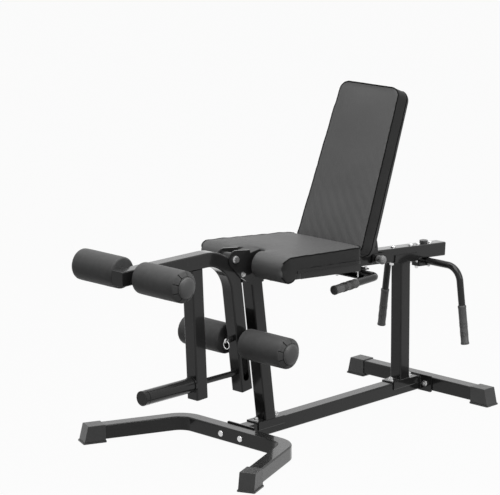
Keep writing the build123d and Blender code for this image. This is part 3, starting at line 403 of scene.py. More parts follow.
# ---------------------------------------------------------------- mesh work
def link(name, mesh, body, slot, key=None):
    """Object with a finish that rides on a body of the bench."""
    piece = bpy.data.objects.new(name, mesh)
    bpy.context.scene.collection.objects.link(piece)
    if not mesh.materials:
        mesh.materials.append(finish_of(key or slot))
    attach(piece, body)
    return piece


def smooth(mesh, sharp_over=None):
    """Smooth shading; edges bent by more than an angle stay crisp."""
    mesh.shade_smooth()
    if sharp_over:
        mesh.set_sharp_from_angle(angle=radians(sharp_over))
    return mesh


def mesh_from(name, points, faces, sharp_over=None):
    """Mesh with its doubles merged and its faces turned outwards."""
    mesh = bpy.data.meshes.new(name)
    mesh.from_pydata([tuple(point) for point in points], [], faces)
    work = bmesh.new()
    work.from_mesh(mesh)
    bmesh.ops.remove_doubles(work, verts=work.verts, dist=1e-6)
    bmesh.ops.recalc_face_normals(work, faces=work.faces)
    work.to_mesh(mesh)
    work.free()
    return smooth(mesh, sharp_over)


def turned(profile, start, axis, steps, wobble=None):
    """Points and faces of a closed profile of (along, radius) turned about an axis."""
    side = axis.orthogonal().normalized()
    other = axis.cross(side)
    points, faces = [], []
    for k in range(steps):
        angle = 2 * pi * k / steps
        out = side * cos(angle) + other * sin(angle)
        for along, radius in profile:
            point = start + axis * along + out * radius
            if wobble:
                point = point + out * wobble(point, radius)
            points.append(point)
    count = len(profile)
    for k in range(steps):
        for n in range(count):
            a, b = k * count, (k + 1) % steps * count
            m = (n + 1) % count
            corners = [a + n, a + m, b + m, b + n]
            if profile[n][1] == 0 and profile[m][1] == 0:
                continue
            if profile[n][1] == 0:
                corners = [a + n, a + m, b + m]
            elif profile[m][1] == 0:
                corners = [a + n, a + m, b + n]
            faces.append(corners)
    return points, faces


def baked(piece):
    """Plain mesh of a piece as its modifiers leave it."""
    depsgraph = bpy.context.evaluated_depsgraph_get()
    return bpy.data.meshes.new_from_object(piece.evaluated_get(depsgraph), depsgraph=depsgraph)


def grown(name, seed_mesh, tree, values, sharp_over=None):
    """Mesh that a Geometry Nodes tree makes from a seed mesh."""
    seed = bpy.data.objects.new(name, seed_mesh)
    bpy.context.scene.collection.objects.link(seed)
    modifier = seed.modifiers.new("Tree", "NODES")
    modifier.node_group = tree
    for item in tree.interface.items_tree:
        if item.item_type == "SOCKET" and item.in_out == "INPUT" and item.name in values:
            modifier[item.identifier] = values[item.name]
    mesh = baked(seed)
    mesh.name = name
    bpy.data.objects.remove(seed)
    return smooth(mesh, sharp_over)


def new_tree(name, inputs):
    """Empty Geometry Nodes tree with named number inputs: (name, type, default)."""
    tree = bpy.data.node_groups.new(name, "GeometryNodeTree")
    tree.interface.new_socket(name="Geometry", in_out="INPUT", socket_type="NodeSocketGeometry")
    for title, kind, default in inputs:
        socket = tree.interface.new_socket(name=title, in_out="INPUT", socket_type="NodeSocket" + kind)
        socket.default_value = default
    tree.interface.new_socket(name="Geometry", in_out="OUTPUT", socket_type="NodeSocketGeometry")
    board = Board(tree)
    board.add("NodeGroupInput")
    group = tree.nodes[0]
    return board, {socket.name: Wire(board, socket) for socket in group.outputs if socket.name}


def close_tree(board, geometry, finish):
    """Ends a tree in Realize Instances and Set Material."""
    real = board.add("GeometryNodeRealizeInstances", None, {"Geometry": geometry})
    coloured = board.add("GeometryNodeSetMaterial", None, {"Geometry": real, "Material": finish})
    board.add("NodeGroupOutput", None, {0: coloured})
    return board.tree


def cord_tree(name, finish):
    """Tree that lays a round welt along the edges of a mesh."""
    board, given = new_tree(name, (("Radius", "Float", 0.002), ("Spacing", "Float", 0.004), ("Sides", "Int", 10)))
    line = board.add("GeometryNodeMeshToCurve", None, {"Mesh": given["Geometry"]})
    even = board.add("GeometryNodeResampleCurve", {"mode": "LENGTH"}, {"Curve": line, "Length": given["Spacing"]})
    sockets = {"Resolution": given["Sides"], "Radius": given["Radius"]}
    ring = board.add("GeometryNodeCurvePrimitiveCircle", None, sockets)
    welt = board.add("GeometryNodeCurveToMesh", None, {"Curve": even, "Profile Curve": ring, "Fill Caps": True})
    return close_tree(board, welt, finish)


def bead_tree(name, finish):
    """Tree that lays overlapping weld ripples along the edges of a mesh."""
    board, given = new_tree(name, (("Radius", "Float", 0.003), ("Spacing", "Float", 0.0026)))
    line = board.add("GeometryNodeMeshToCurve", None, {"Mesh": given["Geometry"]})
    sockets = {"Curve": line, "Length": given["Spacing"]}
    even = board.add("GeometryNodeResampleCurve", {"mode": "LENGTH"}, sockets)
    points = board.add("GeometryNodeCurveToPoints", {"mode": "EVALUATED"}, {"Curve": even})
    turns = Wire(board, points.socket.node.outputs["Rotation"])
    drop = board.add("GeometryNodeMeshUVSphere", None, {"Segments": 10, "Rings": 6, "Radius": given["Radius"]})
    sockets = {"Points": points, "Instance": drop, "Rotation": turns, "Scale": (1.0, 1.0, 0.72)}
    row = board.add("GeometryNodeInstanceOnPoints", None, sockets)
    return close_tree(board, row, finish)


def ring_tree(name, finish):
    """Tree that sets a row of round ribs along an axis."""
    inputs = (
        ("Count", "Int", 4), ("Start", "Vector", (0.0, 0.0, 0.0)), ("Step", "Vector", (0.0, 0.0, 0.004)),
        ("Axis", "Vector", (0.0, 0.0, 1.0)), ("Radius", "Float", 0.016), ("Rib", "Float", 0.0008),
    )
    board, given = new_tree(name, inputs)
    sockets = {"Count": given["Count"], "Start Location": given["Start"], "Offset": given["Step"]}
    row = board.add("GeometryNodeMeshLine", {"mode": "OFFSET"}, sockets)
    big = board.add("GeometryNodeCurvePrimitiveCircle", None, {"Resolution": 48, "Radius": given["Radius"]})
    small = board.add("GeometryNodeCurvePrimitiveCircle", None, {"Resolution": 8, "Radius": given["Rib"]})
    hoop = board.add("GeometryNodeCurveToMesh", None, {"Curve": big, "Profile Curve": small})
    turn = board.add("FunctionNodeAlignRotationToVector", {"axis": "Z"}, {"Vector": given["Axis"]})
    ribs = board.add("GeometryNodeInstanceOnPoints", None, {"Points": row, "Instance": hoop, "Rotation": turn})
    return close_tree(board, ribs, finish)


def tree_of(kind, key):
    """A tree of one kind in one finish, made the first time it is asked for."""
    name = f"{kind.__name__}_{key}"
    return bpy.data.node_groups.get(name) or kind(name, finish_of(key))


def path_mesh(name, paths):
    """Mesh of bare edges: each path is a list of points, with True where it closes."""
    points, edges = [], []
    for path, closed in paths:
        first = len(points)
        points += [tuple(point) for point in path]
        edges += [(n, n + 1) for n in range(first, len(points) - 1)]
        if closed:
            edges.append((len(points) - 1, first))
    mesh = bpy.data.meshes.new(name)
    mesh.from_pydata(points, edges, [])
    return mesh


# ---------------------------------------------------------------- upholstery
def seam_paths(node, keep, inset):
    """Sharp edges of a padded node, as short paths set in from the surface."""
    work = bmesh.new()
    work.from_mesh(bpy.data.objects[node].data)
    bmesh.ops.remove_doubles(work, verts=work.verts, dist=1e-5)
    bmesh.ops.recalc_face_normals(work, faces=work.faces)
    work.normal_update()
    edges = []
    for edge in work.edges:
        if len(edge.link_faces) != 2 or edge.calc_face_angle(0.0) < radians(40):
            continue
        normals = [face.normal.copy() for face in edge.link_faces]
        if keep(normals, (edge.verts[0].co + edge.verts[1].co) / 2):
            edges.append(edge)
    shift = {}
    for edge in edges:
        inward = -(edge.link_faces[0].normal + edge.link_faces[1].normal).normalized()
        for vert in edge.verts:
            shift[vert] = shift.get(vert, Vector()) + inward
    order = {vert: n for n, vert in enumerate(shift)}
    points = [vert.co + shift[vert].normalized() * inset for vert in shift]
    pairs = [(order[edge.verts[0]], order[edge.verts[1]]) for edge in edges]
    work.free()
    return points, pairs


def finely(points, pairs, spacing=0.006):
    """The same seams with points added along every stretch."""
    points, split = list(points), []
    for a, b in pairs:
        steps = max(1, round((points[b] - points[a]).length / spacing))
        last = a
        for n in range(1, steps):
            points.append(points[a].lerp(points[b], n / steps))
            split.append((last, len(points) - 1))
            last = len(points) - 1
        split.append((last, b))
    return points, split


def seam_tree(points, pairs, spacing=0.004):
    """Search tree over points spread along the seams."""
    spread = []
    for a, b in pairs:
        steps = max(1, int((points[b] - points[a]).length / spacing))
        spread += [points[a].lerp(points[b], n / steps) for n in range(steps + 1)]
    tree = kdtree.KDTree(len(spread))
    for n, point in enumerate(spread):
        tree.insert(point, n)
    tree.balance()
    return tree


def seat_spread(along):
    """Share by which the sewn seat is wider at a place along it."""
    return SEAT_SPREAD * max(0.0, 1.0 - along / SEAT_SPREAD_RUN)


def seat_shape(point):
    """Moves a point of the plain seat to the sewn shape: a wider front on a round roll."""
    apart = point - SEAT_NOSE
    along, up = apart.dot(SEAT_ALONG), apart.dot(SEAT_UP)
    point = point + WIDTH * (point.y * seat_spread(along))
    if up > ROLL_TOP_UP and along < ROLL_TOP_RADIUS:
        x, z = along - ROLL_TOP_RADIUS, up - ROLL_TOP_UP
        reach = Vector((x, z)).length
        if reach > ROLL_TOP_SKIN:
            point = point + (SEAT_ALONG * x + SEAT_UP * z) * (ROLL_TOP_RADIUS / reach - 1.0)
        return point
    if up > BOARD_FACE or along > ROLL_LENGTH + 0.0005:
        return point
    was = ROLL_TOP_RADIUS - max(0.0, ROLL_TOP_RADIUS ** 2 - (ROLL_TOP_UP - up) ** 2) ** 0.5
    middle = ROLL_RADIUS - ROLL_FOOT
    across = max(-1.0, min(1.0, 2.0 * (along - was) / (ROLL_LENGTH - was) - 1.0))
    down = max(0.0, min(1.0, (middle - up) / ROLL_RADIUS))
    new_along = ROLL_RADIUS * (1.0 + across * (1.0 - down ** 2 / 2) ** 0.5)
    new_up = middle - ROLL_RADIUS * down * (1.0 - across ** 2 / 2) ** 0.5 if down > 0.0 else up
    return point + SEAT_ALONG * (new_along - along) + SEAT_UP * (new_up - up)


def back_shape(point):
    """Moves a point of the plain backrest to the sewn shape, a little wider at its top."""
    rise = (point - HINGE).dot(BACK_UP)
    return point + WIDTH * (point.y * BACK_SPREAD * min(1.0, max(0.0, rise / BACK_SPREAD_RUN)))


def fine_shell(node, voxel, shape):
    """Even, fine-meshed copy of a padded node, moved to its sewn shape."""
    mesh = bpy.data.objects[node].data.copy()
    work = bmesh.new()
    work.from_mesh(mesh)
    bmesh.ops.remove_doubles(work, verts=work.verts, dist=1e-5)
    bmesh.ops.recalc_face_normals(work, faces=work.faces)
    work.to_mesh(mesh)
    work.free()
    mesh.materials.clear()
    shell = bpy.data.objects.new(node + "_shell", mesh)
    bpy.context.scene.collection.objects.link(shell)
    remesh = shell.modifiers.new("Remesh", "REMESH")
    remesh.mode = "VOXEL"
    remesh.voxel_size = voxel
    fine = baked(shell)
    for vertex in fine.vertices:
        vertex.co = shape(vertex.co)
    shell.data = fine
    even = baked(shell)
    bpy.data.objects.remove(shell)
    return even


def inflate(mesh, weights, pressure, cap):
    """Cloth simulation of the shell under pressure; no point moves further than cap."""
    shell = bpy.data.objects.new("cushion_shell", mesh)
    bpy.context.scene.collection.objects.link(shell)
    group = shell.vertex_groups.new(name="held")
    for n, weight in enumerate(weights):
        group.add([n], weight, "REPLACE")
    cloth = shell.modifiers.new("Cloth", "CLOTH")
    settings = cloth.settings
    settings.quality = 5
    settings.mass = 0.25
    settings.tension_stiffness = 14
    settings.compression_stiffness = 14
    settings.shear_stiffness = 6
    settings.bending_stiffness = 0.6
    settings.use_pressure = True
    settings.uniform_pressure_force = pressure
    settings.vertex_group_mass = "held"
    settings.effector_weights.gravity = 0.0
    cloth.collision_settings.use_collision = False
    cloth.collision_settings.use_self_collision = False
    scene = bpy.context.scene
    for number in range(1, 21):
        scene.frame_set(number)
    swollen = baked(shell)
    scene.frame_set(1)
    before = [vertex.co.copy() for vertex in mesh.vertices]
    for vertex, old in zip(swollen.vertices, before):
        moved = vertex.co - old
        if moved.length > cap:
            vertex.co = old + moved.normalized() * cap
    bpy.data.objects.remove(shell)
    return swollen


def pad(name, node, body, options):
    """A padded panel: held at its seams, swollen between them, with a welt round its edges."""
    cushions = bpy.context.scene.bench_cushions
    points, pairs = finely(*seam_paths(node, options["seams"], options["welt_inset"]))
    points = [options["shape"](point) for point in points]
    seams = seam_tree(points, pairs)
    mesh = fine_shell(node, cushions.voxel, options["shape"])
    normals = [vertex.normal.copy() for vertex in mesh.vertices]
    weights = []
    for vertex, normal in zip(mesh.vertices, normals):
        away = seams.find(vertex.co)[2]
        held = max(0.0, 1.0 - max(0.0, away - 0.006) / 0.018)
        if normal.dot(options["rests"]) > 0.8:
            held = 1.0
        weights.append(held)
        vertex.co -= normal * cushions.take_in * (1.0 if normal.dot(options["rests"]) < 0.8 else 0.1)
    mesh = inflate(mesh, weights, cushions.pressure, cushions.cap)
    work = bmesh.new()
    work.from_mesh(mesh)
    for _ in range(2):
        bmesh.ops.smooth_vert(
            work, verts=work.verts, factor=0.5, use_axis_x=True, use_axis_y=True, use_axis_z=True
        )
    work.normal_update()
    for vertex in work.verts:
        vertex.co += vertex.normal * options["pucker"](vertex.co, seams.find(vertex.co)[2])
    work.to_mesh(mesh)
    work.free()
    piece = bpy.data.objects.new(name, mesh)
    bpy.context.scene.collection.objects.link(piece)
    finer = piece.modifiers.new("Finer", "SUBSURF")
    finer.levels = finer.render_levels = 1
    fine = baked(piece)
    bpy.data.objects.remove(piece)
    fine.name = name
    fine.materials.clear()
    fine.materials.append(finish_of("grey_vinyl"))
    fine.materials.append(finish_of(options["panel"]))
    smooth(fine)
    # Faces turned to the front and top take the lighter panel finish, the rest the darker border finish: the two
    # tones of the one grey vinyl are painted light and shade.
    for face in fine.polygons:
        face.material_index = 1 if options["is_panel"](face.normal, face.center) else 0
    piece = link(name, fine, body, "grey_vinyl")
    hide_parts(node)

    cover = BVHTree.FromObject(piece, bpy.context.evaluated_depsgraph_get())
    laid = []
    for point in points:
        place, normal, _, _ = cover.find_nearest(point)
        laid.append(tuple(place + normal * cushions.welt * 0.12))
    welt_seed = bpy.data.meshes.new(name + "_welt")
    welt_seed.from_pydata(laid, pairs, [])
    values = {"Radius": cushions.welt / 2, "Spacing": 0.005, "Sides": 10}
    welt = grown(name + "_welt", welt_seed, tree_of(cord_tree, "welt_vinyl"), values)
    link(name + "_welt", welt, body, "grey_vinyl")


def seat_seam(normals, middle):
    """Seams run where a border face meets the seat's wrap."""
    border = [abs(normal.y) > 0.7 or normal.dot(SEAT_ALONG) > 0.7 for normal in normals]
    apart = middle - SEAT_NOSE
    under = apart.dot(SEAT_ALONG) > 0.114 and apart.dot(SEAT_UP) < 0.02
    return any(border) and not all(border) and abs(middle.y) > 0.06 and not under


def back_seam(normals, middle):
    """Seams run round the front panel and round the rear face."""
    return any(abs(normal.dot(BACK_FORE)) > 0.8 for normal in normals)


def seat_pucker(point, away):
    """Slight unevenness of the seat's wrap, gathered at the seams."""
    near = max(0.0, 1.0 - away / 0.03)
    return 0.0006 * noise.noise(point * 14.0) + 0.0006 * near * noise.noise(point * 70.0)


def back_pucker(point, away):
    """Diagonal pulls across the lower corner of the back, and gathers at the seams."""
    near = max(0.0, 1.0 - away / 0.03)
    along, across = point.dot(BACK_UP), point.y
    diagonal = along * 0.62 - across * 0.78
    low = max(0.0, 1.0 - max(0.0, along - 0.72) / 0.3)
    pull = sin(diagonal * 190.0 + 1.4 * noise.noise(point * 9.0))
    calm = 1.0 - near
    gather = 0.0005 * near * noise.noise(point * 75.0)
    return 0.00035 * low * pull * calm + 0.0006 * noise.noise(point * 12.0) + gather


SEAT = {
    "shape": seat_shape,
    "seams": seat_seam,
    "rests": -SEAT_UP,
    "welt_inset": 0.0012,
    "pucker": seat_pucker,
    "panel": "seat_panel",
    "is_panel": lambda normal, middle: abs(normal.y) < 0.6 and normal.dot(SEAT_ALONG) < 0.6,
}
BACK = {
    "shape": back_shape,
    "seams": back_seam,
    "rests": -BACK_FORE,
    "welt_inset": 0.0012,
    "pucker": back_pucker,
    "panel": "back_panel",
    "is_panel": lambda normal, middle: normal.dot(BACK_FORE) > 0.6,
}


# ---------------------------------------------------------------- rollers
def roller_place(node):
    """Inner end, outward axis and length of one roller's foam."""
    low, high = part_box(node)
    side = 1.0 if high[1] > 0 else -1.0
    inner = low[1] if side > 0 else high[1]
    start = Vector(((low[0] + high[0]) / 2, inner, (low[2] + high[2]) / 2))
    return start, WIDTH * side, high[1] - low[1]


def foam_profile(radius, bore, length):
    """Section of a foam sleeve: a rolled inner rim and a wide bevel down to the cap."""
    rim, bevel, steps = 0.007, 0.011, 6
    profile = [(0.0, bore), (0.0, (bore + radius) / 2)]
    for n in range(steps + 1):
        turn = pi / 2 * n / steps
        profile.append((rim - rim * cos(turn), radius - rim + rim * sin(turn) - 0.0006))
    for n in range(1, 12):
        share = n / 12
        swell = sin(pi * share) ** 0.4
        profile.append((rim + (length - rim - bevel) * share, radius - 0.0006 * (1 - swell)))
    profile += [
        (length - bevel - 0.0012, radius - 0.0006), (length - bevel, radius - 0.0011),
        (length - bevel + 0.0009, radius - 0.0024), (length - 0.0012, radius - 0.0142),
        (length - 0.0006, radius - 0.0156), (length - 0.0016, radius - 0.0164), (length - 0.0016, bore),
    ]
    return profile


def hub_profile(bore, wall, cap, length, dome):
    """Section of a hub: sleeve, flange and a closed cap with a full dome."""
    outer = bore + wall
    profile = [(0.0, bore), (0.0, outer), (length, outer), (length, cap - 0.0008), (length + 0.0008, cap)]
    profile += [(length + 0.0022, cap), (length + 0.0026, cap - 0.0008), (length + 0.0026, cap - 0.0022)]
    for n in range(1, 11):
        turn = pi / 2 * n / 10
        profile.append((length + 0.0026 + (dome - 0.0026) * sin(turn), (cap - 0.0022) * cos(turn)))
    profile[-1] = (length + dome, 0.0)
    return profile + [(length + 0.0005, 0.0), (length + 0.0005, bore)]


def foam_wobble(point, radius):
    """Soft unevenness of a foam skin."""
    return 0.00035 * noise.noise(point * 22.0) if radius > 0.03 else 0.0


# ---------------------------------------------------------------- grips
def grip_profile(radius, bore, length, tip):
    """Section of a rubber handle grip: closed end with a rim, plain body, rolled mouth."""
    body = radius - 0.0011
    return [
        (-tip, 0.0), (-tip, radius * 0.62), (-tip + 0.0007, radius * 0.66), (-tip + 0.0007, radius * 0.78),
        (-tip, radius * 0.82), (-tip + 0.0004, radius * 0.93), (-tip + 0.0018, radius), (0.004, radius),
        (0.006, body), (length - 0.012, body + 0.0002), (length - 0.008, radius - 0.0003),
        (length - 0.003, radius), (length - 0.0006, radius - 0.0009), (length, radius - 0.002), (length, bore), (0.0, bore), (0.0, 0.0),
    ]


def grip_places(node, end_offset):
    """Axes of a pair of grips, found from the outer and inner ends of the node's mesh."""
    places = []
    for side in (-1, 1):
        verts = [v.co for v in bpy.data.objects[node].data.vertices if v.co.y * side > 0]
        middle = sum(verts, Vector()) / len(verts)
        spread = Matrix(((0.0,) * 3,) * 3)
        for co in verts:
            d = co - middle
            for r in range(3):
                for c in range(3):
                    spread[r][c] += d[r] * d[c]
        axis = end_offset(side).normalized()
        for _ in range(40):
            axis = (spread @ axis).normalized()
        if axis.dot(end_offset(side)) < 0:
            axis = -axis
        reach = [(co - middle).dot(axis) for co in verts]
        places.append((middle + axis * max(reach), -axis, max(reach) - min(reach)))
    return places


# ---------------------------------------------------------------- settings
def metres(name, description, default, low, high):
    """Setting in metres."""
    return FloatProperty(
        name=name, description=description, default=default, min=low, max=high, subtype="DISTANCE", unit="LENGTH"
    )


class BenchFinishes(bpy.types.PropertyGroup):
    """Brightness of the bench's main finishes"""

    coat_level: FloatProperty(
        name="Powder coat", description="Grey level of the black coat",
        default=0.017, min=0.001, max=0.2,
    )
    # Below the panel's level: painted shade on the pads' sides.
    border_level: FloatProperty(
        name="Border vinyl with painted shade", description="Grey level of the pads' sides",
        default=0.0155, min=0.005, max=0.5,
    )
    # Above the border's level: painted light on the pads' faces.
    panel_level: FloatProperty(
        name="Panel vinyl with painted light", description="Grey level of the pads' faces",
        default=0.06, min=0.01, max=0.8,
    )


class BenchCushions(bpy.types.PropertyGroup):
    """Sizes of the seat and back upholstery"""

    voxel: metres("Mesh size", "Edge of the simulated mesh", 0.005, 0.003, 0.01)
    take_in: metres("Take-in", "How far the cover is drawn in before it swells", 0.0015, 0.0, 0.01)
    pressure: FloatProperty(
        name="Pressure", description="Pressure of the padding on the cover",
        default=4.0, min=0.0, max=20.0,
    )
    cap: metres("Most swelling", "Furthest that a point moves outwards", 0.0065, 0.001, 0.03)
    fill: FloatProperty(
        name="Fill", description="How tightly the pads are filled",
        default=0.9, min=0.0, max=1.0, subtype="FACTOR",
    )
    welt: metres("Welt", "Diameter of the welt sewn into the edges", 0.0046, 0.001, 0.01)
    thread_pitch: metres("Thread pitch", "Spacing of the embossed threads", 0.0026, 0.001, 0.01)


class BenchRollers(bpy.types.PropertyGroup):
    """Sizes of the foam rollers and their hubs"""

    bore: metres("Hub bore", "Radius of the hub's bore", 0.01755, 0.005, 0.04)
    wall: metres("Hub wall", "Thickness of the hub's sleeve", 0.0045, 0.001, 0.01)
    fullness: metres("Dome", "Extra height of the cap's dome", 0.0055, 0.0, 0.02)
    fatter: metres("Fatter", "Growth of the foam's radius", 0.0025, 0.0, 0.01)
    longer: metres("Longer", "Growth of the foam's outer end", 0.007, 0.0, 0.02)
    cap_extra: metres("Cap", "Growth of the cap's radius", 0.0025, 0.0, 0.01)
    steps: IntProperty(name="Steps", description="Divisions round a roller", default=144, min=24, max=256)


class BenchGrips(bpy.types.PropertyGroup):
    """Sizes of the rubber handle grips"""

    bore: metres("Bore", "Radius inside a grip", 0.01255, 0.005, 0.03)
    ribs: IntProperty(name="Ribs", description="Ribs in a band round a grip", default=4, min=1, max=12)
    rib: metres("Rib", "Radius of one rib", 0.0011, 0.0003, 0.003)
    pitch: metres("Rib pitch", "Spacing of the ribs", 0.005, 0.002, 0.02)


class BenchWelds(bpy.types.PropertyGroup):
    """Sizes of the weld beads"""

    bead: metres("Bead", "Radius of a weld bead", 0.0024, 0.001, 0.006)
    pitch: metres("Ripple pitch", "Spacing of the weld's ripples", 0.0024, 0.001, 0.006)


class BenchStage(bpy.types.PropertyGroup):
    """Floor, lamps and camera"""

    floor_size: metres("Floor", "Side of the floor", 60.0, 5.0, 200.0)
    overhead: FloatProperty(
        name="Overhead lamp", description="Power of the large lamp above",
        default=215.0, min=0.0, max=2000.0, unit="POWER",
    )
    key: FloatProperty(
        name="Side lamp", description="Power of the lamp at the sitter's left",
        default=110.0, min=0.0, max=2000.0, unit="POWER",
    )
    lens: FloatProperty(
        name="Lens", description="Focal length of the camera in millimetres",
        default=186.45, min=20.0, max=400.0,
    )
    stand: FloatVectorProperty(
        name="Camera", description="Place of the camera",
        default=(-6.229609, -5.934243, 2.598659), size=3, subtype="XYZ", unit="LENGTH",
    )


# ---------------------------------------------------------------- operators
class BENCH_OT_stage(bpy.types.Operator):
    """Lay the floor, hang the lamps and stand the camera"""

    bl_idname = "bench.stage"
    bl_label = "Stage"

    def execute(self, context):
        options = context.scene.bench_stage
        scene = context.scene
        half = options.floor_size / 2
        corners = [(-half, -half, 0.0), (half, -half, 0.0), (half, half, 0.0), (-half, half, 0.0)]
        mesh = bpy.data.meshes.new("studio_floor")
        mesh.from_pydata(corners, [], [(0, 1, 2, 3)])
        floor = bpy.data.objects.new("studio_floor", mesh)
        scene.collection.objects.link(floor)
        mesh.materials.append(self.floor_finish())

        world = bpy.data.worlds.new("Studio")
        scene.world = world
        world.use_nodes = True
        world.node_tree.nodes.clear()
        board = Board(world.node_tree)
        strength = self.seen(board) * (1.0 - FILL_LIGHT) + FILL_LIGHT
        light = board.add("ShaderNodeBackground", None, {"Color": WHITE, "Strength": strength})
        board.add("ShaderNodeOutputWorld", None, {"Surface": light})

        self.lamp(scene, "overhead_softbox", (-0.5, -0.4, 3.6), 4.0, options.overhead)
        self.lamp(scene, "side_softbox", (1.0, -4.8, 2.9), 3.0, options.key)

        turn, tip, roll = radians(-45.506), radians(12.819), radians(-0.235)
        back = Vector((sin(turn) * cos(tip), -cos(turn) * cos(tip), sin(tip)))
        right = (-back).cross(Vector((0, 0, 1))).normalized()
        up = right.cross(-back)
        across = right * cos(roll) + up * sin(roll)
        above = up * cos(roll) - right * sin(roll)
        data = bpy.data.cameras.new("Camera")
        data.sensor_width = 36.0
        data.lens = options.lens
        data.clip_end = 100.0
        camera = bpy.data.objects.new("Camera", data)
        facing = Matrix((across, above, back)).transposed().to_4x4()
        camera.matrix_world = Matrix.Translation(Vector(options.stand)) @ facing
        scene.collection.objects.link(camera)
        scene.camera = camera
        scene.view_settings.view_transform = "Standard"
        return {"FINISHED"}

    @staticmethod
    def seen(board):
        """1 for camera, glossy and transmitted rays, 0 for the rest."""
        rays = board.add("ShaderNodeLightPath").socket.node.outputs
        total = Wire(board, rays["Is Camera Ray"]) + Wire(board, rays["Is Glossy Ray"])
        total = total + Wire(board, rays["Is Transmission Ray"])
        return total.maths("MINIMUM", total, 1.0)

    def floor_finish(self):
        """White floor that keeps a soft shadow."""
        material = bpy.data.materials.new("Studio floor")
        material.use_nodes = True
        material.node_tree.nodes.clear()
        board = Board(material.node_tree)
        plain = board.add("ShaderNodeBsdfDiffuse", None, {"Color": grey(0.2)})
        bright = board.add("ShaderNodeEmission", None, {"Color": WHITE, "Strength": 1.0})
        mixed = board.add("ShaderNodeMixShader", None, {0: self.seen(board) * FLOOR_WHITE, 1: plain, 2: bright})
        board.add("ShaderNodeOutputMaterial", None, {"Surface": mixed})
        return material

    @staticmethod
    def lamp(scene, name, place, size, power):
        """Square area lamp aimed at the middle of the bench."""
        data = bpy.data.lights.new(name, "AREA")
        data.size = size
        data.energy = power
        lamp = bpy.data.objects.new(name, data)
        aim = Vector((0.0, 0.0, 0.5)) - Vector(place)
        lamp.rotation_euler = aim.to_track_quat("-Z", "Y").to_euler()
        lamp.location = place
        scene.collection.objects.link(lamp)


class BENCH_OT_finishes(bpy.types.Operator):
    """Give every machined and moulded part its finish"""

    bl_idname = "bench.finishes"
    bl_label = "Finishes"

    def execute(self, context):
        for piece in context.scene.objects:
            if piece.type != "MESH":
                continue
            for slot in piece.material_slots:
                if slot.material and slot.material.name in FINISHES:
                    slot.material = finish_of(slot.material.name)
        return {"FINISHED"}


class BENCH_OT_cushions(bpy.types.Operator):
    """Sew and fill the seat and the backrest"""

    bl_idname = "bench.cushions"
    bl_label = "Cushions"

    def execute(self, context):
        pad("seat_cushion", "seat_pad", "frame", SEAT)
        pad("backrest_cushion", "backrest_pad", "backrest", BACK)
        return {"FINISHED"}


class BENCH_OT_seat_edge(bpy.types.Operator):
    """Wrap the cover over the seat board's edge and close the bars' front ends"""

    bl_idname = "bench.seat_edge"
    bl_label = "Seat Edge"

    def execute(self, context):
        # Height and inset of the cover's strip, from its outer face round to its inner one.
        wrap = (
            (0.013, 0.0016), (0.005, 0.0), (0.0012, 0.0004),
            (0.0004, 0.0014), (0.0004, 0.0032), (0.013, 0.0032),
        )
        outline = []
        for along in [0.076 + 0.0165 * n for n in range(20)]:
            outline.append((along, 0.1935 - 0.0142 * along / 0.4243))
        half, rear, corner = 0.1788, 0.4236, 0.029
        for n in range(1, 13):
            turn = pi / 2 * n / 12
            outline.append((rear - corner + corner * sin(turn), half - corner + corner * cos(turn)))
        path = [(along, -across) for along, across in outline] + [(a, c) for a, c in reversed(outline)]
        points = []
        for along, across in path:
            foot = SEAT_NOSE + SEAT_ALONG * along + WIDTH * across
            inward = WIDTH * (-1.0 if across > 0 else 1.0) if along < rear - corner else -SEAT_ALONG
            foot.y *= 1.0 + seat_spread(along)
            points += [foot + SEAT_UP * up + inward * inset for up, inset in wrap]
        faces, count = [], len(wrap)
        for k in range(len(path) - 1):
            for n in range(count):
                m = (n + 1) % count
                faces.append((k * count + n, k * count + m, (k + 1) * count + m, (k + 1) * count + n))
        faces += [tuple(range(count)), tuple(range((len(path) - 1) * count, len(path) * count))]
        link("seat_cover_edge", mesh_from("seat_cover_edge", points, faces, 50), "frame", "grey_vinyl")

        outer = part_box("seat_frame")[1][1]
        work = bmesh.new()
        for side in (-1, 1):
            middle = SEAT_NOSE + SEAT_ALONG * 0.1 + SEAT_UP * -0.0126 + WIDTH * side * (outer - 0.0125)
            frame_axes = Matrix((SEAT_ALONG, WIDTH, SEAT_UP)).transposed().to_4x4()
            size = Matrix.Diagonal((0.038, 0.025, 0.0248, 1.0))
            bmesh.ops.create_cube(work, size=1.0, matrix=Matrix.Translation(middle) @ frame_axes @ size)
        bmesh.ops.bevel(work, geom=work.edges[:], offset=0.0022, segments=3, affect="EDGES", profile=0.5)
        mesh = bpy.data.meshes.new("seat_bar_tips")
        work.to_mesh(mesh)
        work.free()
        link("seat_bar_tips", smooth(mesh, 35), "frame", "black_powder_coat")
        return {"FINISHED"}


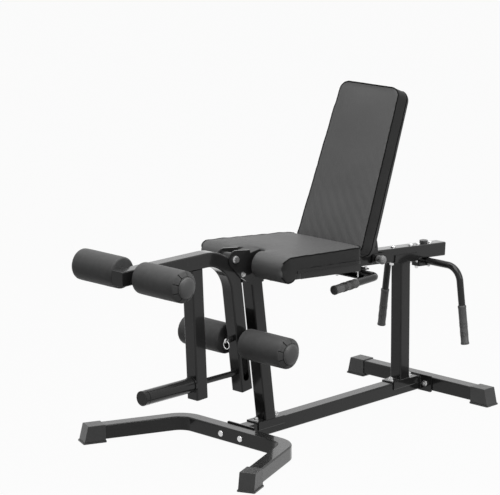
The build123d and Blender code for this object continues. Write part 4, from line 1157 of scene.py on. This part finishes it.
class BENCH_OT_knob(bpy.types.Operator):
    """Mould the round selector knob"""

    bl_idname = "bench.knob"
    bl_label = "Selector Knob"

    def execute(self, context):
        low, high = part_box("selector_knob")
        middle_x, middle_z = (low[0] + high[0]) / 2, (low[2] + high[2]) / 2
        length = high[1] - low[1]
        radius = (high[0] - low[0]) / 2
        bore, core = 0.0115, 0.0061
        neck, widest, steps = bore + 0.0018, length * 0.62, 12
        profile = [(0.0, bore), (0.0, bore + 0.0016), (length * 0.3, neck)]
        for n in range(steps + 1):
            turn = pi * (0.12 + 0.38 * n / steps)
            profile.append((widest - length * 0.3 * cos(turn), max(neck, radius * sin(turn) ** 0.7)))
        for n in range(1, steps):
            turn = pi / 2 * n / steps
            profile.append((widest + length * 0.38 * sin(turn), radius * cos(turn) ** 0.7))
        profile += [(length, 0.0), (length * 0.88, 0.0), (length * 0.88, core)]
        profile += [(length * 0.7, core), (length * 0.7, bore)]
        points, faces = turned(profile, Vector((middle_x, high[1], middle_z)), -WIDTH, 48)
        mesh = mesh_from("selector_knob", points, faces, 45)
        knob = link("round_selector_knob", mesh, "selector_pin", "grey_plastic")
        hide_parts("selector_knob")
        return {"FINISHED"}


class BENCH_OT_rollers(bpy.types.Operator):
    """Turn the four foam rollers and their hubs"""

    bl_idname = "bench.rollers"
    bl_label = "Rollers"

    def execute(self, context):
        options = context.scene.bench_rollers
        outer = options.bore + options.wall
        for place in ("upper", "lower"):
            for hand in ("left", "right"):
                foam_node, hub_node = f"{place}_foam_{hand}", f"{place}_roller_hub_{hand}"
                body = f"{place}_roller_{hand}"
                start, axis, length = roller_place(foam_node)
                low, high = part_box(hub_node)
                dome = (high[1] - low[1]) - length + options.fullness
                radius = (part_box(foam_node)[1][2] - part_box(foam_node)[0][2]) / 2
                length += options.longer
                profile = foam_profile(radius + options.fatter, outer + 0.0002, length)
                points, faces = turned(profile, start, axis, options.steps, foam_wobble)
                points = [self.pinched(point, start, axis, length) for point in points]
                mesh = mesh_from(foam_node, points, faces, 50)
                foam = link(f"{place}_roller_foam_{hand}", mesh, body, "black_foam")
                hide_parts(foam_node)
                cap = (high[2] - low[2]) / 2 + options.cap_extra
                profile = hub_profile(options.bore, options.wall, cap, length, dome)
                points, faces = turned(profile, start, axis, options.steps)
                mesh = mesh_from(hub_node, points, faces, 35)
                mesh.materials.append(finish_of("cap_plastic"))
                hub = link(f"{place}_hub_cap_{hand}", mesh, body, "black_plastic")
                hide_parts(hub_node)
        return {"FINISHED"}

    @staticmethod
    def pinched(point, start, axis, length):
        """Draws the foam's bevelled end in at a few places round the cap."""
        apart = point - start
        along = apart.dot(axis)
        folds, breadth, depth, sink = 9, 0.16, 0.0035, 0.002
        if along < length - 0.0112 or along > length - 0.0004:
            return point
        radial = apart - axis * along
        turn = atan2(radial.z, radial.x) * folds / 2
        fold = max(0.0, 1.0 - abs(sin(turn)) / breadth)
        return point - radial.normalized() * (depth * fold) - axis * (sink * fold)


class BENCH_OT_grips(bpy.types.Operator):
    """Mould the rubber grips and the ribs round them"""

    bl_idname = "bench.grips"
    bl_label = "Grips"

    def execute(self, context):
        options = context.scene.bench_grips
        tip = 0.003
        pairs = (
            (
                "seat_handle_grip", "seat_handle_grips", 0.0165,
                lambda side: Vector((-1.0, 0.2 * side, 0.0)), (0.046, 0.082),
            ),
            (
                "rear_bar_grip", "rear_handlebar_grips", 0.0155,
                lambda side: Vector((0.0, 0.1 * side, -1.0)), (0.03, 0.062),
            ),
        )
        for name, node, radius, outward, bands in pairs:
            for hand, (end, inward, reach) in zip(("left", "right"), grip_places(node, outward)):
                start = end + inward * tip
                points, faces = turned(grip_profile(radius, options.bore, reach - tip, tip), start, inward, 64)
                mesh = mesh_from(name, points, faces, 40)
                # The black rubber grips and their ribs take the charcoal grip finish: painted sheen.
                link(f"{name}_{hand}", mesh, "frame", "black_rubber", "grip_rubber")
                for number, band in enumerate(bands):
                    values = {
                        "Count": options.ribs, "Start": start + inward * band, "Step": inward * options.pitch,
                        "Axis": inward, "Radius": radius - 0.0011, "Rib": options.rib,
                    }
                    seed = bpy.data.meshes.new("rib_seed")
                    ribs = grown(f"{name}_ribs_{hand}_{number}", seed, tree_of(ring_tree, "grip_rubber"), values)
                    link(f"{name}_ribs_{hand}_{number}", ribs, "frame", "black_rubber")
            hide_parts(node)
        return {"FINISHED"}


class BENCH_OT_welds(bpy.types.Operator):
    """Run the weld beads round the tube joints"""

    bl_idname = "bench.welds"
    bl_label = "Welds"

    def execute(self, context):
        options = context.scene.bench_welds
        for name, body, paths in weld_paths():
            values = {"Radius": options.bead, "Spacing": options.pitch}
            bead = grown(name, path_mesh(name, paths), tree_of(bead_tree, "black_powder_coat"), values)
            link(name, bead, body, "black_powder_coat")
        return {"FINISHED"}


def square(middle, first, second, side, corner=0.005):
    """Rounded square path round a tube."""
    half, path = side / 2, []
    for k in range(4):
        a, b = ((1, 1), (-1, 1), (-1, -1), (1, -1))[k]
        for n in range(4):
            turn = k * pi / 2 + pi / 2 * n / 3
            x = a * (half - corner) + corner * cos(turn)
            y = b * (half - corner) + corner * sin(turn)
            path.append(middle + first * x + second * y)
    return path, True


def hoop(middle, first, second, radius, steps=32):
    """Round path about a tube."""
    turns = [2 * pi * n / steps for n in range(steps)]
    return [middle + first * (radius * cos(t)) + second * (radius * sin(t)) for t in turns], True


def weld_paths():
    """Name, body and paths of each group of weld beads."""
    x, y, z = Vector((1, 0, 0)), WIDTH, Vector((0, 0, 1))
    low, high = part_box("rear_post")
    rear = Vector(((low[0] + high[0]) / 2, 0, low[2] + 0.0004))
    base_low, base_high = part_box("base_rail")
    base_z = (base_low[2] + base_high[2]) / 2
    frame_paths = [
        square(rear, x, y, 0.0506),
        square(Vector((base_low[0] + 0.0004, 0, base_z)), y, z, 0.0506),
        square(Vector((base_high[0] - 0.0004, 0, base_z)), y, z, 0.0506),
    ]
    up_low, up_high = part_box("weight_sleeve")
    sleeve_z = (up_low[2] + up_high[2]) / 2
    axle_low, axle_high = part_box("upper_roller_axle")
    axle = Vector(((axle_low[0] + axle_high[0]) / 2, 0, (axle_low[2] + axle_high[2]) / 2))
    arm_paths = [
        hoop(Vector((up_high[0], 0, sleeve_z)) - x * 0.0005, y, z, 0.0252),
        hoop(axle + y * 0.0252, x, z, 0.0127),
        hoop(axle - y * 0.0252, x, z, 0.0127),
    ]
    return (("frame_welds", "frame", frame_paths), ("arm_welds", "leg_arm", arm_paths))


class BENCH_PT_panel(bpy.types.Panel):
    """Bench dressing tools"""

    bl_idname = "BENCH_PT_panel"
    bl_label = "Weight Bench"
    bl_space_type = "VIEW_3D"
    bl_region_type = "UI"
    bl_category = "Bench"

    def draw(self, context):
        for tool, group in TOOLS:
            box = self.layout.box()
            box.operator(tool.bl_idname)
            settings = getattr(context.scene, group, None) if group else None
            if settings:
                for name in settings.bl_rna.properties.keys():
                    if name not in ("rna_type", "name"):
                        box.prop(settings, name)


GROUPS = {
    "bench_stage": BenchStage,
    "bench_finishes": BenchFinishes,
    "bench_cushions": BenchCushions,
    "bench_rollers": BenchRollers,
    "bench_grips": BenchGrips,
    "bench_welds": BenchWelds,
}
TOOLS = (
    (BENCH_OT_stage, "bench_stage"),
    (BENCH_OT_finishes, "bench_finishes"),
    (BENCH_OT_cushions, "bench_cushions"),
    (BENCH_OT_seat_edge, None),
    (BENCH_OT_knob, None),
    (BENCH_OT_rollers, "bench_rollers"),
    (BENCH_OT_grips, "bench_grips"),
    (BENCH_OT_welds, "bench_welds"),
)


def register():
    for name, group in GROUPS.items():
        bpy.utils.register_class(group)
        setattr(bpy.types.Scene, name, PointerProperty(type=group))
    for tool, _ in TOOLS:
        bpy.utils.register_class(tool)
    bpy.utils.register_class(BENCH_PT_panel)


def unregister():
    bpy.utils.unregister_class(BENCH_PT_panel)
    for tool, _ in reversed(TOOLS):
        bpy.utils.unregister_class(tool)
    for name, group in reversed(list(GROUPS.items())):
        delattr(bpy.types.Scene, name)
        bpy.utils.unregister_class(group)


def main():
    register()
    bpy.ops.bench.stage()
    bpy.ops.bench.finishes()
    bpy.ops.bench.cushions()
    bpy.ops.bench.seat_edge()
    bpy.ops.bench.knob()
    bpy.ops.bench.rollers()
    bpy.ops.bench.grips()
    bpy.ops.bench.welds()


if __name__ == "__main__":
    main()
